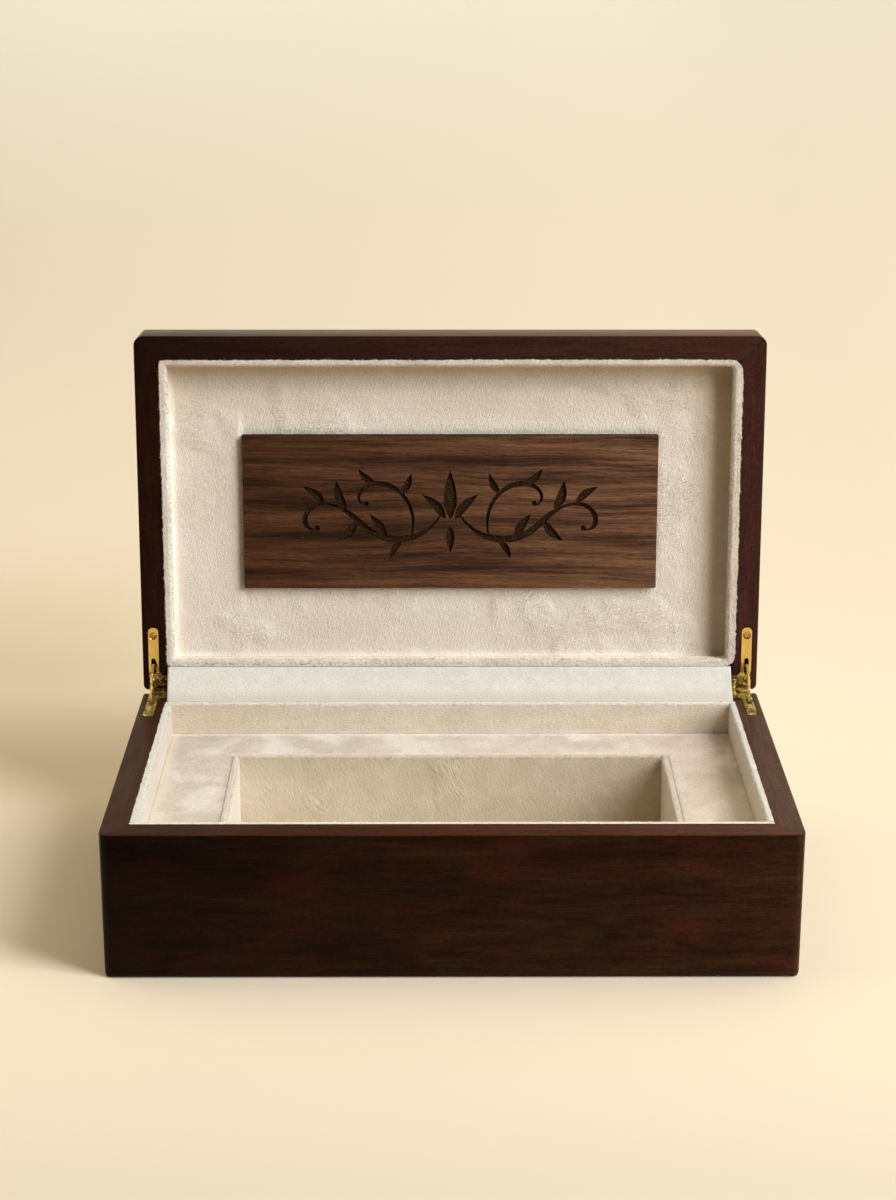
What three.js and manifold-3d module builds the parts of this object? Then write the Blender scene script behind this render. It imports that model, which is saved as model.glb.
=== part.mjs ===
// Keepsake box with a hinged lid, lined throughout, with a raised tray and a
// deep rectangular well. Millimetres, +Z up, origin at the centre of the
// underside, front towards -Y. The lid stands open on its stay arms.
import * as THREE from 'three';
import { mergeVertices } from 'three/addons/utils/BufferGeometryUtils.js';
import Module from 'manifold-3d';

const wasm = await Module();
wasm.setup();

// ---------------------------------------------------------------- dimensions
const W = 300; // outside width
const D = 174; // outside depth
const H = 67; // height of the base
const WALL = 12; // thickness of the sides and rails
const BOTTOM = 6; // thickness of the bottom panel
const LID_H = 28; // height of the lid
const TOP = 8; // thickness of the lid's top panel
const RIM_GAP = 0.3; // between the two rims when shut
const R_FRONT = 4.8; // rounding of the upright corners in front
const R_REAR = 3; // and of those at the hinges
const R_FOOT = 3; // rounding of the lower edges of the base
const R_TOP = 6; // rounding of the upper edges of the lid
const R_RIM = 0.7; // easing of the rims' outer edges
const OPEN = 94; // degrees from shut to the stop
const MITRE = 0.1; // offset of each mitre face, along a side
const G = 0.1; // glue-line clearance between touching pieces

const LINING = 3; // thickness of the lining boards
const LINING_DROP = 0.2; // how far they lie below the rim
const PLATFORM_Z = 51.4; // top of the tray platform
const PLATFORM_T = 5;
const WELL_X = 200; // clear inside of the well
const WELL_Y = 82;
const WELL_T = 3; // thickness of its walls
const WELL_FLOOR = 10; // top of its floor
const BATTEN = 6;

const PAD_DEPTH = 8.4; // from the lid's rim to the lining pad
const PLAQUE_X = 200;
const PLAQUE_Y = 75.5;
const PLAQUE_T = 3.2;
const PLAQUE_R = 0.8; // rounding of its corners
const PLAQUE_SHIFT = -0.8; // towards the lid's front edge
const ENGRAVE = 0.9; // depth of the engraving

// Quadrant hinge, one at each rear corner. x is the distance from the middle
// of the box, u the distance in front of the hinge axis, w the depth into the
// wood from the rim.
const AXIS_Y = D / 2 + 1;
const AXIS_Z = H + RIM_GAP / 2;
const LEAF_T = 1.8;
const LEAF_X0 = 142.1; // side strip
const LEAF_X1 = 147.1;
const LEAF_U1 = 32.4;
const LEAF_END_R = 2.1; // rounding of the strip's front corners
const WING_X0 = 126; // wing along the back rail
const WING_U1 = 8;
const WING_FILLET = 3;
const WING_THIN_X = 138.2; // the wing is set down under the fabric from here
const WING_DROP = 1;
const MORTISE = 0.35; // mortise clearance round a leaf
const MORTISE_W = 1.95;
const KNUCKLE_R = 1.6;
const PIN_R = 0.75;
const PIN_HOLE_R = 0.84;
const BARREL_X0 = 127;
const BARREL_X1 = 146.6;
const LID_KNUCKLE = [132.1, 136.9];
const SLOT_X = 144.8;
const SLOT_W = 2.2;
const SLOT_U = [9, 17];
const SCREW_STRIP = [144.6, 28.3];
const SCREW_WING = [131, 4.7];
const SCREW_HEAD_R = 1.75;
const SCREW_R = 0.9;
const SCREW_L = 9;
const ARM_R = 13; // radius of the stay arm about the hinge axis
const ARM_WIDTH = 2.6;
const ARM_T = 1.0;
const ARM_FROM = -17.5; // degrees below the base rim at rest
const LUG_FROM = -12.5;
const LUG_R = 0.7;
const LUG_L = 3.2;
const POCKET = { x0: 142.9, x1: 146.7, u0: 3.4, u1: 17.2, depth: 14.6 };

// Fabric strip over the hinge line
const FLAP_X = 137.9;
const REBATE_X = 138.2;
const REBATE_W = 1.0;
const REBATE_U0 = 1.8;
const LIP_W = 0.4;
const FLAP_T = 0.83;

// ----------------------------------------------------------------- materials
const finish = (color, roughness, metalness = 0) =>
  new THREE.MeshStandardMaterial({ color, roughness, metalness });
const darkWood = finish(0x3a211a, 0.42);
const walnut = finish(0x5b3b2a, 0.5);
const suede = finish(0xe7ddcc, 0.95);
const whiteSuede = finish(0xeee8dd, 0.95);
const board = finish(0xa98c68, 0.8);
const brass = finish(0xc79a3f, 0.28, 1);

// ------------------------------------------------------------------- helpers
function solid(geometry) {
  const g = geometry.index ? geometry.toNonIndexed() : geometry.clone();
  g.deleteAttribute('normal');
  if (g.attributes.uv) g.deleteAttribute('uv');
  const m = mergeVertices(g, 1e-5);
  return new wasm.Manifold(
    new wasm.Mesh({
      numProp: 3,
      vertProperties: new Float32Array(m.attributes.position.array),
      triVerts: new Uint32Array(m.index.array),
    }),
  );
}

function geometryOf(manifold) {
  const mesh = manifold.getMesh();
  const g = new THREE.BufferGeometry();
  const n = mesh.numProp;
  const count = mesh.vertProperties.length / n;
  const position = new Float32Array(count * 3);
  for (let i = 0; i < count; i++)
    for (let k = 0; k < 3; k++) position[3 * i + k] = mesh.vertProperties[n * i + k];
  g.setAttribute('position', new THREE.BufferAttribute(position, 3));
  g.setIndex(new THREE.BufferAttribute(new Uint32Array(mesh.triVerts), 1));
  g.computeVertexNormals();
  return g;
}

const boxGeometry = (x0, x1, y0, y1, z0, z1) =>
  new THREE.BoxGeometry(x1 - x0, y1 - y0, z1 - z0).translate(
    (x0 + x1) / 2,
    (y0 + y1) / 2,
    (z0 + z1) / 2,
  );
const box = (...a) => solid(boxGeometry(...a));

const shapeOf = (points) => new THREE.Shape(points.map(([a, b]) => new THREE.Vector2(a, b)));
const extrude = (shape, depth) => new THREE.ExtrudeGeometry(shape, { depth, bevelEnabled: false });

// A plan outline, upright from z0 to z1.
const prismZ = (points, z0, z1) => solid(extrude(shapeOf(points), z1 - z0).translate(0, 0, z0));

// An outline in (y, z), from x0 to x1.
function prismX(points, x0, x1) {
  const g = extrude(shapeOf(points), x1 - x0);
  g.applyMatrix4(
    new THREE.Matrix4().makeBasis(
      new THREE.Vector3(0, 1, 0),
      new THREE.Vector3(0, 0, 1),
      new THREE.Vector3(1, 0, 0),
    ),
  );
  return solid(g.translate(x0, 0, 0));
}

// An outline in (x, z), from y0 to y1.
function prismY(points, y0, y1) {
  const g = extrude(shapeOf(points), y1 - y0);
  g.applyMatrix4(
    new THREE.Matrix4().makeBasis(
      new THREE.Vector3(1, 0, 0),
      new THREE.Vector3(0, 0, 1),
      new THREE.Vector3(0, -1, 0),
    ),
  );
  return solid(g.translate(0, y1, 0));
}

// A cylinder along X.
const rodX = (r, x0, x1, y, z, segments = 20) =>
  solid(
    new THREE.CylinderGeometry(r, r, x1 - x0, segments)
      .rotateZ(Math.PI / 2)
      .translate((x0 + x1) / 2, y, z),
  );

// The outline of a rectangle whose four corners have their own roundings,
// counter-clockwise from the lower left: [radius, segments] each.
function outline(x0, x1, y0, y1, corners) {
  const centres = [
    [x0, y0, 1, 1, 180],
    [x1, y0, -1, 1, 270],
    [x1, y1, -1, -1, 0],
    [x0, y1, 1, -1, 90],
  ];
  const out = [];
  centres.forEach(([x, y, sx, sy, from], i) => {
    const [r, n] = corners[i];
    if (!r) return out.push([x, y]);
    for (let k = 0; k <= n; k++) {
      const a = THREE.MathUtils.degToRad(from + (90 * k) / n);
      out.push([x + sx * r + r * Math.cos(a), y + sy * r + r * Math.sin(a)]);
    }
  });
  return out;
}

// The outside of the base or lid: upright corners, and the rounding of its
// lower and upper edges.
function caseBlank(z0, z1, low, high) {
  const front = [R_FRONT, 6];
  const rear = [R_REAR, 4];
  return prismZ(outline(-W / 2, W / 2, -D / 2, D / 2, [front, front, rear, rear]), z0, z1)
    .intersect(prismX(outline(-D / 2, D / 2, z0, z1, [low, low, high, high]), -W, W))
    .intersect(prismY(outline(-W / 2, W / 2, z0, z1, [low, low, high, high]), -D, D));
}

// The mitre faces: the plan of the front or back piece, and of a side piece.
const MEET = (W - D) / 2; // the mitre lines meet the long axis at this x
const crosswise = (sy) => {
  const y = sy * (W / 2 + 10 - MEET);
  return prismZ(
    [
      [-W / 2 - 10 + MITRE, y],
      [-MEET + MITRE, 0],
      [MEET - MITRE, 0],
      [W / 2 + 10 - MITRE, y],
    ],
    -5,
    H + LID_H + 5,
  );
};
const sideways = (sx) => {
  const x = W / 2 + 10;
  return prismZ(
    [
      [sx * (MEET + MITRE), 0],
      [sx * (x + MITRE), -(x - MEET)],
      [sx * (x + MITRE), x - MEET],
    ],
    -5,
    H + LID_H + 5,
  );
};

const root = new THREE.Group();
root.name = 'keepsake_box';
const baseGroup = new THREE.Group();
root.add(baseGroup);

// Everything in the lid is placed as if shut, then turned open about the axis.
const lidTurn = new THREE.Group();
lidTurn.position.set(0, AXIS_Y, AXIS_Z);
lidTurn.rotation.x = THREE.MathUtils.degToRad(-OPEN);
const lidGroup = new THREE.Group();
lidGroup.position.set(0, -AXIS_Y, -AXIS_Z);
lidTurn.add(lidGroup);
root.add(lidTurn);

function add(group, name, what, material) {
  const geometry = what.isBufferGeometry ? what : geometryOf(what);
  const mesh = new THREE.Mesh(geometry, material);
  mesh.name = name;
  group.add(mesh);
}

// -------------------------------------------------------------------- hinges
// The base half of a hinge lies below the rim at z = H, the lid half is its
// mirror image above z = H + RIM_GAP.
const half = (lid) => {
  const z = (w) => (lid ? H + RIM_GAP + w : H - w);
  return {
    z,
    box: (x0, x1, u0, u1, w0, w1) =>
      box(
        Math.min(x0, x1),
        Math.max(x0, x1),
        AXIS_Y - u1,
        AXIS_Y - u0,
        Math.min(z(w0), z(w1)),
        Math.max(z(w0), z(w1)),
      ),
    prism: (points, w0, w1) =>
      prismZ(
        points.map(([x, u]) => [x, AXIS_Y - u]),
        Math.min(z(w0), z(w1)),
        Math.max(z(w0), z(w1)),
      ),
  };
};

// The L of a leaf in plan, grown all round by e. Its strip runs forward along
// the side, its wing inward along the back.
function leafOutline(sx, e, u0) {
  const p = [[LEAF_X1 + e, u0]];
  const end = LEAF_END_R + e;
  for (const [x, from] of [
    [LEAF_X1 + e - end, 0],
    [LEAF_X0 - e + end, 90],
  ])
    for (let k = 0; k <= 5; k++) {
      const a = THREE.MathUtils.degToRad(from + 18 * k);
      p.push([x + end * Math.cos(a), LEAF_U1 + e - end + end * Math.sin(a)]);
    }
  const r = WING_FILLET - e;
  const cx = LEAF_X0 - e - r;
  const cu = WING_U1 + e + r;
  for (let k = 0; k <= 5; k++) {
    const a = THREE.MathUtils.degToRad(-18 * k);
    p.push([cx + r * Math.cos(a), cu + r * Math.sin(a)]);
  }
  p.push([WING_X0 - e, WING_U1 + e], [WING_X0 - e, u0]);
  return p.map(([x, u]) => [sx * x, u]);
}

const stadium = (cx, width, u0, u1, n = 5) => {
  const r = width / 2;
  const p = [];
  for (let k = 0; k <= n; k++) {
    const a = Math.PI + (Math.PI * k) / n;
    p.push([cx + r * Math.cos(a), u0 + r + r * Math.sin(a)]);
  }
  for (let k = 0; k <= n; k++) {
    const a = (Math.PI * k) / n;
    p.push([cx + r * Math.cos(a), u1 - r + r * Math.sin(a)]);
  }
  return p;
};

const span = (sx, [a, b]) => (sx > 0 ? [a, b] : [-b, -a]);

// A turned solid on the line x, u, from a profile of [radius, depth] that
// starts and ends on the axis.
function turned(h, sx, [x, u], profile, segments) {
  const g = new THREE.LatheGeometry(
    profile.map(([r, w]) => new THREE.Vector2(r, -w)),
    segments,
  ).rotateX(Math.PI / 2);
  // Lathe axis now runs along Z, with depth w towards -Z.
  if (h.z(1) > h.z(0)) g.rotateX(Math.PI);
  return solid(g.translate(sx * x, AXIS_Y - u, h.z(0)));
}

// The cuts in the wood of one half: the mortise, the pocket for the arm, the
// groove for the barrel and the screw holes.
function hingeCuts(sx, lid) {
  const h = half(lid);
  let cut = h.prism(leafOutline(sx, MORTISE, -3), -3, MORTISE_W);
  cut = cut.add(
    h.box(sx * POCKET.x0, sx * POCKET.x1, POCKET.u0, POCKET.u1, 0, POCKET.depth),
  );
  cut = cut.add(
    rodX(KNUCKLE_R + 0.35, ...span(sx, [BARREL_X0 - 0.6, BARREL_X1 + 0.35]), AXIS_Y, AXIS_Z),
  );
  for (const at of [SCREW_STRIP, SCREW_WING])
    cut = cut.add(
      turned(
        h,
        sx,
        at,
        [
          [0, 1],
          [SCREW_R + 0.12, 1],
          [SCREW_R + 0.12, SCREW_L + 0.6],
          [0, SCREW_L + 0.6],
        ].reverse(),
        12,
      ),
    );
  return cut;
}

function leaf(sx, lid) {
  const h = half(lid);
  let plate = h.prism(leafOutline(sx, 0, 0.45), 0, LEAF_T);
  // The strip stops flush with the back of the box.
  plate = plate.subtract(h.box(sx * LEAF_X0, sx * (LEAF_X1 + 1), -1, 1, -1, 3));
  // Set down under the fabric.
  plate = plate.subtract(
    h.box(sx * (WING_X0 - 1), sx * WING_THIN_X, -1, WING_U1 + 1, -1, WING_DROP),
  );
  const knuckles = lid
    ? [LID_KNUCKLE]
    : [
        [BARREL_X0, LID_KNUCKLE[0] - 0.15],
        [LID_KNUCKLE[1] + 0.15, BARREL_X1],
      ];
  const gaps = lid
    ? [
        [WING_X0 - 1, LID_KNUCKLE[0]],
        [LID_KNUCKLE[1], BARREL_X1 + 0.3],
      ]
    : [
        [WING_X0 - 1, BARREL_X0],
        [LID_KNUCKLE[0] - 0.15, LID_KNUCKLE[1] + 0.15],
      ];
  for (const g of gaps)
    plate = plate.subtract(rodX(KNUCKLE_R + 0.2, ...span(sx, g), AXIS_Y, AXIS_Z));
  for (const k of knuckles)
    plate = plate.add(rodX(KNUCKLE_R, ...span(sx, k), AXIS_Y, AXIS_Z));
  plate = plate.subtract(
    rodX(PIN_HOLE_R, ...span(sx, [BARREL_X0 - 3, BARREL_X1 + 0.3]), AXIS_Y, AXIS_Z, 16),
  );
  plate = plate.subtract(
    h.prism(stadium(sx * SLOT_X, SLOT_W, SLOT_U[0], SLOT_U[1]), -1, LEAF_T + 1),
  );
  const sink = (at, w) =>
    turned(
      h,
      sx,
      at,
      [
        [0, w - 1],
        [SCREW_HEAD_R + 0.12, w - 1],
        [SCREW_HEAD_R + 0.12, w],
        [SCREW_R + 0.12, w + 0.85],
        [SCREW_R + 0.12, LEAF_T + 1],
        [0, LEAF_T + 1],
      ].reverse(),
      20,
    );
  plate = plate.subtract(sink(SCREW_STRIP, 0));
  plate = plate.subtract(sink(SCREW_WING, WING_DROP));
  return plate;
}

function screw(sx, lid, at, w, turn) {
  const h = half(lid);
  let s = turned(
    h,
    sx,
    at,
    [
      [0, w + 0.06],
      [SCREW_HEAD_R, w + 0.06],
      [SCREW_R, w + 0.06 + 0.8],
      [SCREW_R, SCREW_L - 1.6],
      [0, SCREW_L],
    ].reverse(),
    16,
  );
  const x = sx * at[0];
  const y = AXIS_Y - at[1];
  for (const a of [turn, turn + 90]) {
    const bar = new THREE.BoxGeometry(2.1, 0.42, 0.9)
      .rotateZ(THREE.MathUtils.degToRad(a))
      .translate(x, y, h.z(w));
    s = s.subtract(solid(bar));
  }
  return s;
}

// A curved stay arm at rest, lid open: it runs from below the base rim, in
// front of the hinge axis, up into the lid.
function stayArm(sx) {
  const to = OPEN - ARM_FROM;
  const at = (r, a) => {
    const t = THREE.MathUtils.degToRad(a);
    return [AXIS_Y - r * Math.cos(t), AXIS_Z + r * Math.sin(t)];
  };
  const r = ARM_WIDTH / 2;
  const n = 22;
  const p = [];
  for (let k = 0; k <= n; k++) p.push(at(ARM_R + r, ARM_FROM + ((to - ARM_FROM) * k) / n));
  p.push(at(ARM_R + r * 0.7, to + 3.6), at(ARM_R, to + 5), at(ARM_R - r * 0.7, to + 3.6));
  for (let k = n; k >= 0; k--) p.push(at(ARM_R - r, ARM_FROM + ((to - ARM_FROM) * k) / n));
  p.push(
    at(ARM_R - r * 0.7, ARM_FROM - 3.6),
    at(ARM_R, ARM_FROM - 5),
    at(ARM_R + r * 0.7, ARM_FROM - 3.6),
  );
  const x = sx * SLOT_X;
  let arm = prismX(p, x - ARM_T / 2, x + ARM_T / 2);
  for (const a of [LUG_FROM, OPEN - LUG_FROM]) {
    const [y, z] = at(ARM_R, a);
    arm = arm.add(rodX(LUG_R, x - LUG_L / 2, x + LUG_L / 2, y, z, 12));
  }
  return arm;
}

// Room for the fabric strip in a back rail.
const flapRebate = (lid) => {
  const h = half(lid);
  return h
    .box(-REBATE_X, REBATE_X, REBATE_U0, WALL + 3, -1, REBATE_W)
    .add(h.box(-WING_X0, WING_X0, -1, REBATE_U0 + 0.5, -1, LIP_W));
};

// ---------------------------------------------------------------------- base
const inner = [W / 2 - WALL, D / 2 - WALL];
const baseCuts = hingeCuts(1, false).add(hingeCuts(-1, false)).add(flapRebate(false));
const baseRing = caseBlank(0, H, [R_FOOT, 4], [R_RIM, 2])
  .subtract(box(-inner[0], inner[0], -inner[1], inner[1], -1, H + 1))
  .subtract(baseCuts);

add(baseGroup, 'base_front_panel', baseRing.intersect(crosswise(-1)), darkWood);
add(baseGroup, 'base_back_panel', baseRing.intersect(crosswise(1)), darkWood);
add(baseGroup, 'base_left_panel', baseRing.intersect(sideways(-1)), darkWood);
add(baseGroup, 'base_right_panel', baseRing.intersect(sideways(1)), darkWood);
add(
  baseGroup,
  'base_bottom_panel',
  boxGeometry(-inner[0] + G, inner[0] - G, -inner[1] + G, inner[1] - G, 0, BOTTOM),
  board,
);

// Lining boards stand on the bottom and reach just below the rim.
const lx = inner[0] - G; // outer faces of the lining
const ly = inner[1] - G;
const l0 = BOTTOM + G;
const l1 = H - LINING_DROP;
add(baseGroup, 'base_lining_front', boxGeometry(-lx, lx, -ly, -ly + LINING, l0, l1), suede);
add(baseGroup, 'base_lining_back', boxGeometry(-lx, lx, ly - LINING, ly, l0, l1), suede);
const lj = ly - LINING - G; // the side boards fit between the long ones
add(baseGroup, 'base_lining_left', boxGeometry(-lx, -lx + LINING, -lj, lj, l0, l1), suede);
add(baseGroup, 'base_lining_right', boxGeometry(lx - LINING, lx, -lj, lj, l0, l1), suede);

// Tray platform, its battens, and the well.
const px = lx - LINING - G;
const py = ly - LINING - G;
const wx = WELL_X / 2 + WELL_T + G;
const wy = WELL_Y / 2 + WELL_T + G;
const platform = shapeOf([
  [-px, -py],
  [px, -py],
  [px, py],
  [-px, py],
]);
platform.holes.push(
  new THREE.Path(
    [
      [-wx, -wy],
      [-wx, wy],
      [wx, wy],
      [wx, -wy],
    ].map(([a, b]) => new THREE.Vector2(a, b)),
  ),
);
add(
  baseGroup,
  'tray_platform',
  extrude(platform, PLATFORM_T).translate(0, 0, PLATFORM_Z - PLATFORM_T),
  suede,
);
const b1 = PLATFORM_Z - PLATFORM_T - G;
add(baseGroup, 'tray_batten_front', boxGeometry(-px, px, -py, -py + BATTEN, l0, b1), board);
add(baseGroup, 'tray_batten_back', boxGeometry(-px, px, py - BATTEN, py, l0, b1), board);
const bj = py - BATTEN - G;
add(baseGroup, 'tray_batten_left', boxGeometry(-px, -px + BATTEN, -bj, bj, l0, b1), board);
add(baseGroup, 'tray_batten_right', boxGeometry(px - BATTEN, px, -bj, bj, l0, b1), board);

const wi = WELL_X / 2;
const wj = WELL_Y / 2;
add(baseGroup, 'well_wall_left', boxGeometry(-wi - WELL_T, -wi, -wj - WELL_T, wj + WELL_T, l0, PLATFORM_Z), suede);
add(baseGroup, 'well_wall_right', boxGeometry(wi, wi + WELL_T, -wj - WELL_T, wj + WELL_T, l0, PLATFORM_Z), suede);
add(baseGroup, 'well_wall_front', boxGeometry(-wi + G, wi - G, -wj - WELL_T, -wj, l0, PLATFORM_Z), suede);
add(baseGroup, 'well_wall_back', boxGeometry(-wi + G, wi - G, wj, wj + WELL_T, l0, PLATFORM_Z), suede);
add(baseGroup, 'well_floor', boxGeometry(-wi + G, wi - G, -wj + G, wj - G, l0, WELL_FLOOR), suede);

// ----------------------------------------------------------------------- lid
const Z0 = H + RIM_GAP; // the lid's rim
const Z1 = Z0 + LID_H;
const railTop = Z1 - TOP - G;
const lidCuts = hingeCuts(1, true).add(hingeCuts(-1, true)).add(flapRebate(true));
const lidBlank = caseBlank(Z0, Z1, [R_RIM, 2], [R_TOP, 6]);
const lidRing = lidBlank
  .intersect(box(-W, W, -D, D, Z0 - 1, railTop))
  .subtract(box(-inner[0], inner[0], -inner[1], inner[1], Z0 - 1, Z1))
  .subtract(lidCuts);
add(lidGroup, 'lid_front_rail', lidRing.intersect(crosswise(-1)), darkWood);
add(lidGroup, 'lid_back_rail', lidRing.intersect(crosswise(1)), darkWood);
add(lidGroup, 'lid_left_rail', lidRing.intersect(sideways(-1)), darkWood);
add(lidGroup, 'lid_right_rail', lidRing.intersect(sideways(1)), darkWood);
add(lidGroup, 'lid_top_panel', lidBlank.intersect(box(-W, W, -D, D, railTop + G, Z1 + 1)), darkWood);

const m0 = Z0 + LINING_DROP;
const m1 = railTop;
add(lidGroup, 'lid_lining_front', boxGeometry(-lx, lx, -ly, -ly + LINING, m0, m1), suede);
add(lidGroup, 'lid_lining_back', boxGeometry(-lx, lx, ly - LINING, ly, m0, m1), suede);
add(lidGroup, 'lid_lining_left', boxGeometry(-lx, -lx + LINING, -lj, lj, m0, m1), suede);
add(lidGroup, 'lid_lining_right', boxGeometry(lx - LINING, lx, -lj, lj, m0, m1), suede);
add(lidGroup, 'lid_lining_pad', boxGeometry(-px, px, -py, py, Z0 + PAD_DEPTH, m1), suede);

// ------------------------------------------------- plaque with a leaf spray
// The motif is drawn as seen from the front with the lid open: x to the right,
// v upwards, from the plaque's middle. It is the same on both sides.
const bezier = (p, t) => {
  const s = 1 - t;
  return [0, 1].map(
    (k) =>
      s * s * s * p[0][k] + 3 * s * s * t * p[1][k] + 3 * s * t * t * p[2][k] + t * t * t * p[3][k],
  );
};

// A stroke along joined cubic curves, whose width swells and fades.
function stroke(curves, widths, steps = 8) {
  const line = [];
  curves.forEach((c, i) => {
    for (let k = i ? 1 : 0; k <= steps; k++) line.push(bezier(c, k / steps));
  });
  const left = [];
  const right = [];
  line.forEach(([x, v], i) => {
    const a = line[Math.max(i - 1, 0)];
    const b = line[Math.min(i + 1, line.length - 1)];
    const l = Math.hypot(b[0] - a[0], b[1] - a[1]);
    const t = (i / (line.length - 1)) * (widths.length - 1);
    const j = Math.min(Math.floor(t), widths.length - 2);
    const f = t - j;
    const e = f * f * (3 - 2 * f);
    const w = (widths[j] * (1 - e) + widths[j + 1] * e) / 2;
    const n = [-(b[1] - a[1]) / l, (b[0] - a[0]) / l];
    left.push([x + n[0] * w, v + n[1] * w]);
    right.push([x - n[0] * w, v - n[1] * w]);
  });
  return [...left, ...right.reverse()];
}

// A pointed leaf from its foot, bent a little to one side.
function leafShape([x, v], angle, length, width, bend = 0, n = 9) {
  const a = THREE.MathUtils.degToRad(angle);
  const place = (s, o) => {
    const c = bend * Math.sin(Math.PI * s) * length;
    const q = [s * length, o + c];
    return [x + q[0] * Math.cos(a) - q[1] * Math.sin(a), v + q[0] * Math.sin(a) + q[1] * Math.cos(a)];
  };
  const w = (s) => (width / 2) * Math.sin(Math.PI * Math.pow(s, 0.8)) ** 0.9;
  const p = [];
  for (let k = 0; k <= n; k++) p.push(place(k / n, w(k / n)));
  for (let k = n - 1; k > 0; k--) p.push(place(k / n, -w(k / n)));
  return p;
}

const dot = ([x, v], r, n = 14) => {
  const p = [];
  for (let k = 0; k < n; k++) {
    const a = (2 * Math.PI * k) / n;
    p.push([x + r * Math.cos(a), v + r * Math.sin(a)]);
  }
  return p;
};

const spray = [
  // main stem with its curled end
  stroke(
    [
      [[4.6, -1.6], [15, -17], [33, -17], [44, -5]],
      [[44, -5], [51, 2.6], [60, 6.5], [66.5, 2.5]],
      [[66.5, 2.5], [72.5, -1.4], [71, -9.4], [64.6, -8.8]],
    ],
    [0.8, 3.6, 3.2, 1.3, 2.2, 2.5, 0.9],
    11,
  ),
  dot([64.4, -7.9], 1.35),
  // upper tendril
  stroke(
    [
      [[19, -12.6], [15, 0], [22, 13], [34, 14]],
      [[34, 14], [43.5, 14.6], [47.5, 5.6], [41, 3.4]],
    ],
    [0.8, 1.8, 2.7, 1.7, 0.8],
    11,
  ),
  dot([40.6, 4.3], 1.25),
  leafShape([31, -13.8], 58, 15.3, 4.4, 0.06),
  leafShape([45, -4.2], -46, 14, 4.2, -0.08),
  leafShape([50.3, 1.4], 72, 14.8, 4.6, -0.09),
  leafShape([60.6, 4.2], 38, 13.6, 3.8, 0.08),
  leafShape([23.5, -13.9], -58, 10.7, 3.4, 0.08),
  leafShape([24.2, 8.8], 118, 11.8, 3.6, 0.08),
  leafShape([36, 13.7], 42, 11.2, 3.6, -0.08),
];
const middle = [
  leafShape([0, -3.5], 90, 24, 6.4, 0),
  leafShape([0, -7], -90, 13, 4.2, 0),
];
const sideLeaf = leafShape([2.2, -3.4], 47, 16.5, 4.4, 0.07);

const PZ = m0 - LINING_DROP + PAD_DEPTH - G; // back of the plaque
const face = PZ - PLAQUE_T;
const soften = [PLAQUE_R, 3];
let plaque = prismZ(
  outline(
    -PLAQUE_X / 2,
    PLAQUE_X / 2,
    PLAQUE_SHIFT - PLAQUE_Y / 2,
    PLAQUE_SHIFT + PLAQUE_Y / 2,
    [soften, soften, soften, soften],
  ),
  face,
  PZ,
);
let carving = null;
for (const outlinePoints of [...spray, sideLeaf, ...middle])
  for (const s of middle.includes(outlinePoints) ? [1] : [1, -1]) {
    const cut = prismZ(
      outlinePoints.map(([x, v]) => [s * x, PLAQUE_SHIFT - v]),
      face - 1,
      face + ENGRAVE,
    );
    carving = carving ? carving.add(cut) : cut;
  }
plaque = plaque.subtract(carving);
add(lidGroup, 'lid_plaque', plaque, walnut);

// -------------------------------------------------------- fabric hinge strip
for (const lid of [false, true]) {
  const h = half(lid);
  const w0 = REBATE_W - 0.12 - FLAP_T;
  const z = [h.z(w0), h.z(w0 + FLAP_T)].sort((a, b) => a - b);
  add(
    lid ? lidGroup : baseGroup,
    lid ? 'flap_lid_half' : 'flap_base_half',
    boxGeometry(-FLAP_X, FLAP_X, D / 2 - WALL + 0.05, AXIS_Y - REBATE_U0 - 0.15, z[0], z[1]),
    whiteSuede,
  );
}

// ------------------------------------------------------------ hinge hardware
for (const sx of [-1, 1]) {
  const side = sx < 0 ? 'left' : 'right';
  add(baseGroup, `${side}_base_leaf`, leaf(sx, false), brass);
  add(lidGroup, `${side}_lid_leaf`, leaf(sx, true), brass);
  add(
    baseGroup,
    `${side}_hinge_pin`,
    rodX(PIN_R, ...span(sx, [BARREL_X0 - 0.1, BARREL_X1 + 0.1]), AXIS_Y, AXIS_Z, 16),
    brass,
  );
  add(root, `${side}_stay_arm`, stayArm(sx), brass);
  add(baseGroup, `${side}_base_front_screw`, screw(sx, false, SCREW_STRIP, 0, 20 + 25 * sx), brass);
  add(baseGroup, `${side}_base_wing_screw`, screw(sx, false, SCREW_WING, WING_DROP, 50), brass);
  add(lidGroup, `${side}_lid_front_screw`, screw(sx, true, SCREW_STRIP, 0, 12 - 30 * sx), brass);
  add(lidGroup, `${side}_lid_wing_screw`, screw(sx, true, SCREW_WING, WING_DROP, 10), brass);
}

export default root;
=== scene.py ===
"""Keepsake box with a hinged lid: finishes, soft linings, stage, lights and camera.

Metres in the scene, millimetres in the geometry helpers. The lid stands open;
its soft pieces are built as if shut and then turned open about the hinge axis.
"""

import math

import bpy
import numpy as np
from mathutils import Matrix, Vector


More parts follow.
